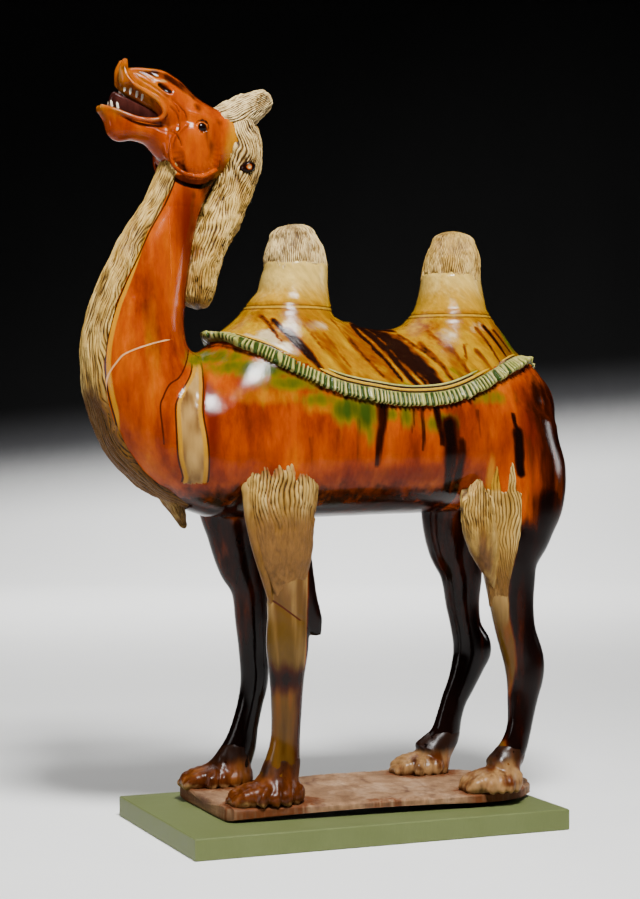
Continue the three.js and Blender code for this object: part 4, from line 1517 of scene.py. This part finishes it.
def make_thigh_patch(name, side):
    """Combed hair laid on the thigh, with two long tips that reach up the flank."""
    out = flank_map(side)
    across, down = (np.linspace(0, 1, count) for count in PATCH_POINTS)
    share, drop = np.meshgrid(across, down, indexing="ij")
    z = PATCH_TOP - PATCH_DROP * drop
    rear = x_of_line(THIGH_STRAW, z.ravel()).reshape(z.shape)
    front = np.interp(z, *zip(*PATCH_FRONT)) + (9 if side > 0 else 0)
    x = front + (rear - front) * share
    column = (x - PATCH_CORNER[0]) / PATCH_CELL - 0.5
    row = (z - PATCH_CORNER[1]) / PATCH_CELL - 0.5
    i, j = np.floor(column).astype(int), np.floor(row).astype(int)
    u, v = column - i, row - j
    y = out[i, j] * (1 - u) * (1 - v) + out[i + 1, j] * u * (1 - v)
    y += out[i, j + 1] * (1 - u) * v + out[i + 1, j + 1] * u * v
    height, gap = comb(PATCH_STRANDS, share * 0.999, PATCH_TOP - z, 83, 1.2, sway=0.7, dash=9)
    tips = 343 + 5 * value_noise(share * PATCH_STRANDS, 0 * share, 85)
    for at, rise, width in THIGH_TIPS:
        tips = np.maximum(tips, 340 + rise * (1 - np.minimum(1, (np.abs(x - at) / width)) ** 1.6))
    height = (height + 1.6) * smooth(205, 250, z)
    height = height * smooth(1, 5, (1 - share) * 45) * smooth(0, 4, share * 45)
    height = height - 4 * smooth(1.5, -1.5, tips - z) - 4 * smooth(225, 208, z)
    height = height - 4 * smooth(0.03, 0, np.minimum(share, 1 - share))
    outer = np.stack([x, side * (y + height), z], axis=-1)
    inner = np.stack([x, side * (y - 6), z], axis=-1)
    loop = np.concatenate([outer, inner[::-1]], axis=0).transpose(1, 0, 2)
    skin = folded_tube(loop)
    points = skin[0]
    deep = np.concatenate([gap, 0 * gap + 0.5], axis=0).T.ravel()
    low = smooth(310, 230, points[:, 2])
    tip = smooth(10, 5, np.abs(points[:, 0] - THIGH_TIPS[0][0]))
    marks = {
        "gap": 0.9 * deep,
        "sleeve": 0.35 + 0.4 * low,
        "yellow": tip * smooth(338, 350, points[:, 2]),
        "green": 0.8 * low,
        "dark": 0.7 * low + 0.3 * noise3(points, 14, 87),
    }
    make_piece(name, faced_out(skin), [HAIR_SLIP], marks)


def chest_tint(points):
    """Brown glaze run into the hanging hair of the chest."""
    return {"dark": 0.85 + 0.3 * noise3(points, 14, 77)}


def mane_tint(points):
    """Amber and yellow that have run into the mane behind the cheek and down its front edge."""
    x, z = points[:, 0], points[:, 2]
    front = smooth(-160, -180, x) * smooth(700, 640, z)
    stain = 0.45 * noise3(points, 16, 79)
    return {
        "amber": 0.5 * front + stain,
        "yellow": patches(points, [(-150, 726, 7, 30, 0.8)]),
        "dark": 0.3 * smooth(690, 600, z) + stain,
        "pale": 0.4 * smooth(670, 710, z) + 0.25 * smooth(735, 765, z),
    }


def cap_tint(points):
    """Brown left in the combed cap of a hump."""
    back = points[:, 0] > HUMPS_PART
    return {"dark": 0.15 + 0.25 * back + 0.35 * noise3(points, 12, 71), "pale": 0.5 - 0.4 * back}


def leg_tint(points):
    """Olive streaks that run down the leg's hair, and amber between its tips."""
    x, z = points[:, 0], points[:, 2]
    streak = noise3(points * (1, 1, 0.15), 7, 73)
    bald = smooth(345, 270, z)
    tips = smooth(352, 372, z)
    far = points[:, 1] > 0
    groove = smooth(3.5, 1.5, np.abs(x - np.interp(z, *zip(*ROLL_GROOVE))))
    return {
        "sleeve": 0.4 + 0.6 * smooth(350, 290, z) * (x < 0),
        "green": bald * (0.2 + 0.6 * streak),
        "amber": np.maximum(0.8 * tips + 0.5 * noise3(points, 16, 75), 0.7 * groove * (x < 0)),
        "dark": bald * (0.75 + 0.6 * streak + 0.8 * far) + 0.7 * smooth(-78, -66, x) * (x < 0),
    }


# Names of the finishes.
BODY_GLAZE = "lead_glaze_amber_brushed_over_buff_clay"
CLOTH_GLAZE = "lead_glaze_ochre_run_over_raised_cloth"
HAIR_SLIP = "straw_glaze_over_combed_slip"
FRILL_GLAZE = "green_glaze_pooled_in_pleats"
FOOT_GLAZE = "thin_amber_glaze_wiped_over_toes"
BARE_CLAY = "bare_buff_earthenware_with_splashes"
MOUTH_GLAZE = "rose_amber_glaze_in_the_mouth"
TOOTH_GLAZE = "white_slip_under_clear_glaze"
BOARD_PAINT = "satin_paint_rolled_on_board"
FLOOR_PAPER = "graduated_matt_backdrop_paper"

# Repeats a metre of a pattern whose size is 1 mm.
PER_MM = 1000.0


def colour(code):
    """Linear colour of an sRGB hex code; a setting's colour is linear already."""
    if not isinstance(code, str):
        return tuple(code)
    parts = [int(code[k : k + 2], 16) / 255 for k in (1, 3, 5)]
    return (*(c / 12.92 if c <= 0.04045 else ((c + 0.055) / 1.055) ** 2.4 for c in parts), 1)


def add(tree, kind, inputs=None, stops=(), **settings):
    """Adds a node with its settings and ramp stops; an input is a value or the socket that feeds
    it."""
    made = tree.nodes.new(kind)
    for key, value in settings.items():
        setattr(made, key, value)
    for key, value in (inputs or {}).items():
        if isinstance(value, bpy.types.NodeSocket):
            tree.links.new(value, made.inputs[key])
        else:
            made.inputs[key].default_value = value
    for k, (place, code) in enumerate(stops):
        elements = made.color_ramp.elements
        element = elements[k] if k < len(elements) else elements.new(place)
        element.position = place
        element.color = colour(code)
    return made


def glaze(
    name, ground, layers, fine=0.3, rough=(0.07, 0.18), relief=0.25, lean=0.0, sizes=(26, 5, 1.4)
):
    """Glaze over clay. Its ground is mottled between a few tones, and each layer lies where its
    mark passes from one value to the other, along an edge that wavers in runs, which lean by an
    angle from upright. A layer whose values fall and stay above 0 takes its mark as a distance
    either way. The sizes of the mottle, the runs and the pits are in millimetres."""
    material = bpy.data.materials.new(name)
    material.use_nodes = True
    tree = material.node_tree
    shader = tree.nodes["Principled BSDF"]
    place = add(tree, "ShaderNodeTexCoord").outputs["Object"]
    slope = {"Vector": place, "Scale": (1, 1, 3.6), "Rotation": (0, math.radians(lean), 0)}
    falling = add(tree, "ShaderNodeMapping", slope, vector_type="TEXTURE").outputs[0]
    broad, run, pit = (PER_MM / size for size in sizes)
    # Broad clouds of tone, finer runs, pinholes, and long drips that fray the edges of the layers.
    noise, math_node = "ShaderNodeTexNoise", "ShaderNodeMath"
    mottle = add(tree, noise, {"Vector": falling, "Scale": broad, "Detail": 6, "Roughness": 0.62})
    runs = add(tree, noise, {"Vector": falling, "Scale": run, "Detail": 5, "Roughness": 0.6})
    pits = add(tree, noise, {"Vector": place, "Scale": pit, "Detail": 3, "Roughness": 0.6})
    slope["Scale"] = (1, 1, 14)
    long = add(tree, "ShaderNodeMapping", slope, vector_type="TEXTURE").outputs[0]
    drips = {"Vector": long, "Scale": 1.6 * run / 2, "Detail": 2.5, "Roughness": 0.5}
    drips = add(tree, noise, drips)
    mottle, runs, pits, drips = (made.outputs["Fac"] for made in (mottle, runs, pits, drips))
    tone = add(tree, "ShaderNodeValToRGB", {"Fac": mottle}, stops=ground).outputs["Color"]
    for mark, low, high, code, waver in layers:
        value = add(tree, "ShaderNodeAttribute", attribute_name=mark).outputs["Fac"]
        if low > high > 0:
            value = add(tree, math_node, {0: value}, operation="ABSOLUTE").outputs[0]
        edge = value
        for pattern, reach in ((drips, waver), (runs, 0.5 * waver)):
            sums = {0: pattern, 1: reach, 2: edge}
            edge = add(tree, math_node, sums, operation="MULTIPLY_ADD").outputs[0]
        span = {"Value": edge, "From Min": low + 0.75 * waver, "From Max": high + 0.75 * waver}
        share = add(tree, "ShaderNodeMapRange", span, interpolation_type="SMOOTHSTEP").outputs[0]
        mixed = {0: share, 6: tone, 7: colour(code)}
        tone = add(tree, "ShaderNodeMix", mixed, data_type="RGBA").outputs[2]
    greys = [(0.3, "#5c5c5c"), (0.7, "#e0e0e0")]
    grey = add(tree, "ShaderNodeValToRGB", {"Fac": runs}, stops=greys)
    varied = {0: fine, 6: tone, 7: grey.outputs["Color"]}
    varied = add(tree, "ShaderNodeMix", varied, data_type="RGBA", blend_type="OVERLAY").outputs[2]
    tree.links.new(varied, shader.inputs["Base Color"])
    span = {"Value": mottle, "From Min": 0.3, "From Max": 0.7}
    span |= {"To Min": rough[0], "To Max": rough[1]}
    roughness = add(tree, "ShaderNodeMapRange", span).outputs[0]
    tree.links.new(roughness, shader.inputs["Roughness"])
    height = 0.0
    for pattern, depth in ((runs, 0.7), (pits, 0.3)):
        sums = {0: pattern, 1: depth, 2: height}
        height = add(tree, math_node, sums, operation="MULTIPLY_ADD").outputs[0]
    bump = {"Strength": relief, "Distance": 0.0012, "Height": height}
    tree.links.new(add(tree, "ShaderNodeBump", bump).outputs[0], shader.inputs["Normal"])
    # Lead glass; its gloss is held down, as the soft lights stand close.
    shader.inputs["IOR"].default_value = 1.52
    shader.inputs["Specular IOR Level"].default_value = 0.13
    return material


def fire_glazes(settings):
    """All finishes of the figure, the board and the floor."""
    # Deep, wet-looking orange that turns red where it lies thick, with green and near-black runs,
    # and painted shade under the belly, under the frill, behind the throat's strip and in the
    # shoulder's crease.
    glaze(
        BODY_GLAZE,
        [
            (0.26, "#481000"),
            (0.4, "#6c2000"),
            (0.53, "#883200"),
            (0.66, "#9c4400"),
            (0.8, "#ac5c00"),
        ],
        [
            ("yellow", 0.1, 1.0, "#9c6200", 0.6),
            ("red", 0.3, 1.0, "#541000", 0.5),
            ("straw", 0.35, 0.75, settings.strap_straw, 0.25),
            ("soil", 0.3, 1.0, "#5c3c1c", 0.8),
            ("olive", 0.1, 1.0, "#4a3410", 0.7),
            ("strap_edge", 3.2, 0.8, "#9a6c14", 1.2),
            ("strap_line", 1.3, 0.6, "#341404", 0.3),
            ("green", 0.1, 0.8, "#5c5006", 0.9),
            ("green", 0.5, 1.1, "#26360c", 0.7),
            ("dark", 0.25, 0.85, "#2c0a00", 1.0),
            ("dark", 0.7, 1.05, settings.dark_runs, 0.7),
            ("border", 2.8, 1.2, "#a46c08", 0.8),
            # painted shadow behind the throat strip's edge
            ("edge", 1.1, 0.5, "#2c1204", 0.6),
            # painted shade in the shoulder's crease, and the foreleg's crack
            ("fold", 1.3, 0.5, "#3c1204", 0.3),
            ("crack", 1.1, 0.5, "#b88858", 0.3),
        ],
        fine=0.2,
        sizes=(34, 9, 1.6),
    )
    # Ochre run into brown, with cream and green dabs, and pale humps over dark collar lines.
    glaze(
        CLOTH_GLAZE,
        [(0.28, "#643800"), (0.45, "#825400"), (0.6, "#987000"), (0.75, "#a48a00")],
        [
            ("cloth_green", 0.2, 0.8, "#4e5404", 1.4),
            ("cloth_cream", 0.3, 0.8, "#a8946c", 0.8),
            ("cloth_brown", 0.1, 0.6, "#642c00", 0.7),
            ("cloth_brown", 0.5, 0.9, "#180804", 0.8),
            ("collar", 2, 12, "#9c7418", 6),
            ("hump", 0.1, 0.9, "#b89a50", 0.6),
            ("collar", 3.2, 2.4, "#5c3808", 0.8),
            ("collar", 1.6, 0.9, "#94701c", 0.5),
        ],
        rough=(0.1, 0.2),
        relief=0.4,
        lean=-42,
    )
    # Pale combed locks with brown glaze left in the hollows between them, and near-black painted
    # shade deep in the gaps.
    glaze(
        HAIR_SLIP,
        [(0.3, "#8c6a2a"), (0.45, "#aa8842"), (0.6, "#c2a25c"), (0.75, "#d0b878")],
        [
            ("pale", 0.0, 1.0, "#d6c08c", 0.4),
            ("amber", 0.4, 1.0, "#7c3c04", 0.5),
            ("green", 0.4, 0.9, "#6c6a30", 0.5),
            ("yellow", 0.3, 0.9, "#a87808", 0.4),
            ("dark", 0.3, 1.1, "#4c3018", 0.5),
            ("sleeve", 0.1, 0.9, "#6c4a22", 0.3),
            ("gap", 0.15, 0.65, "#60400e", 0.4),
            # painted shade deep in the gaps
            ("gap", 0.5, 0.9, "#1e1006", 0.4),
        ],
        fine=0.4,
        rough=(0.3, 0.55),
        relief=0.9,
        sizes=(20, 3.4, 1.2),
    )
    # Green glaze that has run into the hollows and left the ridges cream.
    glaze(
        FRILL_GLAZE,
        [(0.3, "#6c7434"), (0.5, "#948e4c"), (0.7, "#b4a668")],
        [
            ("hollow", 0.25, 0.75, settings.frill_green, 0.5),
            ("line", 0.4, 0.6, "#2a160c", 0.2),
            ("gold", 0.4, 0.6, "#a8801c", 0.3),
        ],
        rough=(0.12, 0.3),
        relief=0.35,
    )
    # Amber wiped thin over buff toes, with painted shade where the clay lies low between the lumps.
    glaze(
        FOOT_GLAZE,
        [(0.3, "#301203"), (0.5, "#502406"), (0.7, "#744218")],
        [
            ("straw", 0.45, 1.1, "#8c6840", 0.8),
            ("dark", 0.2, 0.9, "#1c0c05", 0.5),
            # painted shade where the clay lies low
            ("depth", 0.2, -1.2, "#200c04", 0.4),
        ],
        rough=(0.2, 0.45),
    )
    # Dry pinkish clay, striated at the edges, with glossy brown splashes by the feet and painted
    # shade in its pits.
    glaze(
        BARE_CLAY,
        [(0.3, "#624630"), (0.5, "#846448"), (0.7, "#a08266")],
        [
            ("splash", 0.3, 1.0, "#5c3014", 1.2),
            # painted shade in the pits
            ("depth", -0.5, -1.4, "#5c4030", 0.4),
        ],
        rough=(0.6, 0.75),
        relief=0.8,
        sizes=(30, 4, 1.2),
    )
    # Rose-brown of the gums and tongue, darkened nearly to black as painted shade inside the mouth.
    glaze(MOUTH_GLAZE, [(0.3, "#1c0806"), (0.6, "#44201a"), (0.8, "#6c4030")], [])
    # Near-white slip under clear glaze.
    glaze(TOOTH_GLAZE, [(0.3, "#b9ac94"), (0.7, "#d6ccb8")], [])
    # Olive paint, nearly flat, with the roller's fine stipple.
    glaze(
        BOARD_PAINT,
        [(0.3, "#586038"), (0.7, "#5e663e")],
        [],
        fine=0.05,
        rough=(0.45, 0.55),
        relief=0.12,
        sizes=(60, 2.5, 0.8),
    )
    # Matt pale paper, with painted shade that grades it from pale to black where it rises behind
    # the figure.
    glaze(
        FLOOR_PAPER,
        [(0.3, "#f0f0ee"), (0.7, "#f3f3f1")],
        [
            ("grade", 0.1, 0.6, "#505052", 0.01),
            ("grade", 0.35, 0.8, "#020202", 0.01),
        ],
        fine=0.02,
        rough=(0.85, 0.9),
        relief=0.05,
        sizes=(400, 30, 3),
    )


# The camera: focal length and sensor width in millimetres, place in metres, and its dip below level
# and turn from the board's long side in degrees.
LENS, SENSOR = 80.8, 36
CAMERA_PLACE = (-0.9153, -2.15, 0.4546)
CAMERA_DIP, CAMERA_TURN = 0.524, -22.478
# The backdrop paper in metres: how far behind the figure it starts to rise, the radius of its
# curve, its height, half its width and the points across it.
PAPER_REACH, PAPER_RADIUS, PAPER_TOP = 3.6, 1.2, 5.0
PAPER_HALF, PAPER_POINTS = 9.0, 13
# Its dark grade, painted shade where the paper rises: the height where it starts in the middle, its
# fall to the right, and its depth.
GRADE_START, GRADE_SLOPE, GRADE_DEPTH = 0.16, 0.09, 0.6


def make_camera():
    """The camera where the photograph was taken from."""
    scene = bpy.context.scene
    lens = bpy.data.cameras.new("camera")
    lens.lens = LENS
    lens.sensor_width = SENSOR
    camera = bpy.data.objects.new("camera", lens)
    camera.location = CAMERA_PLACE
    camera.rotation_euler = (math.radians(90 - CAMERA_DIP), 0, math.radians(CAMERA_TURN))
    scene.collection.objects.link(camera)
    scene.camera = camera


def make_lights(settings):
    """Soft studio lights. Each has its place and size in metres, its power, its spread in degrees
    and the point that it faces."""
    scene = bpy.context.scene
    middle = (0, 0, 0.42)
    lights = [
        ("key", (-0.3, -1.35, 2.2), (0.5, 0.45), settings.key_power, 100, middle),
        ("rim", (2.2, -0.25, 0.8), (0.35, 0.6), settings.rim_power, 120, middle),
        ("side", (-2.2, -0.1, 0.9), (0.6, 1.4), settings.side_power, 120, middle),
        ("top", (-0.3, 0.9, 2.4), (1.6, 1.2), settings.top_power, 120, middle),
        ("paper", (1.1, 2.9, 2.6), (3.0, 1.0), settings.paper_power, 110, (1.1, 3.0, 0)),
    ]
    for name, place, size, power, spread, target in lights:
        lamp = bpy.data.lights.new(name, "AREA")
        lamp.shape = "RECTANGLE"
        lamp.size, lamp.size_y = size
        lamp.energy = power
        lamp.spread = math.radians(spread)
        light = bpy.data.objects.new(name, lamp)
        light.location = place
        aim = Vector(target) - light.location
        light.rotation_euler = aim.to_track_quat("-Z", "Y").to_euler()
        scene.collection.objects.link(light)
    world = bpy.data.worlds.new("studio")
    world.use_nodes = True
    world.node_tree.nodes["Background"].inputs["Color"].default_value = colour("#c8cacc")
    world.node_tree.nodes["Background"].inputs["Strength"].default_value = settings.surround
    scene.world = world


def make_floor():
    """A pale floor of paper that curves up behind the figure, with painted shade that darkens it as
    it rises.
    """
    turns = np.linspace(0, math.pi / 2, 61)
    curve = PAPER_REACH + PAPER_RADIUS * np.sin(turns)
    away = np.concatenate([[-9, -4, -1.5, 0, 1.5], curve, [PAPER_REACH + PAPER_RADIUS]])
    rise = np.concatenate([[0, 0, 0, 0, 0], PAPER_RADIUS * (1 - np.cos(turns)), [PAPER_TOP]])
    wide = np.linspace(-PAPER_HALF, PAPER_HALF, PAPER_POINTS)
    toward = math.radians(-CAMERA_TURN)
    x = away[:, None] * math.sin(toward) + wide[None, :] * math.cos(toward)
    y = away[:, None] * math.cos(toward) - wide[None, :] * math.sin(toward)
    points = np.stack([x, y, rise[:, None] + 0 * x], axis=-1).reshape(-1, 3)
    i, j = np.meshgrid(np.arange(len(away) - 1), np.arange(PAPER_POINTS - 1), indexing="ij")
    here, there = i * PAPER_POINTS + j, (i + 1) * PAPER_POINTS + j
    squares = np.stack([here, here + 1, there + 1, there], axis=-1).reshape(-1, 4)
    floor = bpy.data.meshes.new("floor")
    floor.from_pydata(points.tolist(), [], squares.tolist())
    floor.materials.append(bpy.data.materials[FLOOR_PAPER])
    floor.polygons.foreach_set("use_smooth", np.ones(len(floor.polygons), bool))
    sideways = points[:, 0] * math.cos(toward) - points[:, 1] * math.sin(toward)
    grade = (points[:, 2] - GRADE_SLOPE * sideways - GRADE_START) / GRADE_DEPTH
    mark = floor.attributes.new("grade", "FLOAT", "POINT")
    mark.data.foreach_set("value", np.clip(grade, 0, 2).astype(np.float32))
    backdrop = bpy.data.objects.new("floor", floor)
    bpy.context.scene.collection.objects.link(backdrop)


class CamelSettings(bpy.types.PropertyGroup):
    """Fineness of the clay's skins, width of the pleats, three of the glazes' colours, and strength
    of the lights."""

    body_grain: bpy.props.FloatProperty(
        name="Body grain",
        description="Length of one facet of the body's skin",
        default=0.0032,
        min=0.002,
        unit="LENGTH",
    )
    head_grain: bpy.props.FloatProperty(
        name="Head grain",
        description="Length of one facet of the head's skin",
        default=0.0015,
        min=0.0008,
        unit="LENGTH",
    )
    foot_grain: bpy.props.FloatProperty(
        name="Foot grain",
        description="Length of one facet of a foot's skin",
        default=0.0017,
        min=0.001,
        unit="LENGTH",
    )
    hair_step: bpy.props.FloatProperty(
        name="Hair step",
        description="Distance between points along the combed hair",
        default=0.0017,
        min=0.001,
        unit="LENGTH",
    )
    pleat: bpy.props.FloatProperty(
        name="Pleat",
        description="Width of one pleat of the frill",
        default=0.0054,
        min=0.003,
        unit="LENGTH",
    )
    strap_straw: bpy.props.FloatVectorProperty(
        name="Straw glaze",
        description="Colour of the straw glaze on the shoulder strap and the shanks",
        default=colour("#957440"),
        size=4,
        min=0,
        max=1,
        subtype="COLOR",
    )
    dark_runs: bpy.props.FloatVectorProperty(
        name="Dark runs",
        description="Colour of the near-black runs where they lie thick",
        default=colour("#0c0403"),
        size=4,
        min=0,
        max=1,
        subtype="COLOR",
    )
    frill_green: bpy.props.FloatVectorProperty(
        name="Frill green",
        description="Colour of the green glaze pooled in the frill's pleats",
        default=colour("#26360f"),
        size=4,
        min=0,
        max=1,
        subtype="COLOR",
    )
    key_power: bpy.props.FloatProperty(
        name="Key light",
        description="Power of the large light in front and above",
        default=44,
        min=0,
        unit="POWER",
    )
    rim_power: bpy.props.FloatProperty(
        name="Rim light",
        description="Power of the narrow light at the right, behind",
        default=4,
        min=0,
        unit="POWER",
    )
    side_power: bpy.props.FloatProperty(
        name="Side light",
        description="Power of the soft light at the left",
        default=8,
        min=0,
        unit="POWER",
    )
    top_power: bpy.props.FloatProperty(
        name="Top light",
        description="Power of the light over the figure",
        default=5,
        min=0,
        unit="POWER",
    )
    paper_power: bpy.props.FloatProperty(
        name="Paper light",
        description="Power of the light over the paper behind the figure",
        default=80,
        min=0,
        unit="POWER",
    )
    surround: bpy.props.FloatProperty(
        name="Surround",
        description="Strength of the even light from all round",
        default=0.025,
        min=0,
        subtype="FACTOR",
    )


class CAMEL_OT_glazes(bpy.types.Operator):
    """Mixes the glazes, slip, paint and backdrop paper"""

    bl_idname = "camel.glazes"
    bl_label = "Mix glazes"

    def execute(self, context):
        fire_glazes(context.scene.camel)
        return {"FINISHED"}


class CAMEL_OT_body(bpy.types.Operator):
    """Models the trunk, neck, humps, legs and tail in one skin"""

    bl_idname = "camel.body"
    bl_label = "Model body"

    def execute(self, context):
        make_body(context.scene.camel.body_grain / MM)
        return {"FINISHED"}


class CAMEL_OT_head(bpy.types.Operator):
    """Models the head with its tongue and teeth"""

    bl_idname = "camel.head"
    bl_label = "Model head"

    def execute(self, context):
        make_head(context.scene.camel.head_grain / MM)
        make_mouth()
        return {"FINISHED"}


class CAMEL_OT_feet(bpy.types.Operator):
    """Models the four feet"""

    bl_idname = "camel.feet"
    bl_label = "Model feet"

    def execute(self, context):
        for name in FEET:
            make_foot(name, context.scene.camel.foot_grain / MM)
        return {"FINISHED"}


class CAMEL_OT_hair(bpy.types.Operator):
    """Models the combed hair of the throat, mane, humps, legs and chest"""

    bl_idname = "camel.hair"
    bl_label = "Comb hair"

    def execute(self, context):
        make_all_hair(context.scene.camel.hair_step / MM)
        return {"FINISHED"}


class CAMEL_OT_saddle(bpy.types.Operator):
    """Models the saddle cloth's pleated frill and border"""

    bl_idname = "camel.saddle"
    bl_label = "Pleat frill"

    def execute(self, context):
        make_frill(context.scene.camel.pleat / MM)
        return {"FINISHED"}


class CAMEL_OT_slab(bpy.types.Operator):
    """Models the fired slab and paints the board under it"""

    bl_idname = "camel.slab"
    bl_label = "Set slab and board"

    def execute(self, context):
        make_slab()
        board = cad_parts["plinth_board"]
        for slot in board.material_slots:
            slot.material = bpy.data.materials[BOARD_PAINT]
        return {"FINISHED"}


class CAMEL_OT_stage(bpy.types.Operator):
    """Sets up the camera, lights and floor"""

    bl_idname = "camel.stage"
    bl_label = "Set stage"

    def execute(self, context):
        make_camera()
        make_lights(context.scene.camel)
        make_floor()
        return {"FINISHED"}


STEPS = ("glazes", "body", "head", "feet", "hair", "saddle", "slab", "stage")


class CAMEL_PT_panel(bpy.types.Panel):
    """Settings and steps of the camel figure"""

    bl_idname = "CAMEL_PT_panel"
    bl_label = "Camel figure"
    bl_space_type = "VIEW_3D"
    bl_region_type = "UI"
    bl_category = "Camel"

    def draw(self, context):
        settings = context.scene.camel
        for name in settings.__annotations__:
            self.layout.prop(settings, name)
        for step in STEPS:
            self.layout.operator("camel." + step)


CLASSES = (
    CamelSettings,
    CAMEL_OT_glazes,
    CAMEL_OT_body,
    CAMEL_OT_head,
    CAMEL_OT_feet,
    CAMEL_OT_hair,
    CAMEL_OT_saddle,
    CAMEL_OT_slab,
    CAMEL_OT_stage,
    CAMEL_PT_panel,
)


def register():
    for cls in CLASSES:
        bpy.utils.register_class(cls)
    bpy.types.Scene.camel = bpy.props.PointerProperty(type=CamelSettings)


def unregister():
    del bpy.types.Scene.camel
    for cls in reversed(CLASSES):
        bpy.utils.unregister_class(cls)


def main():
    register()
    for step in STEPS:
        getattr(bpy.ops.camel, step)()


if __name__ == "__main__":
    main()
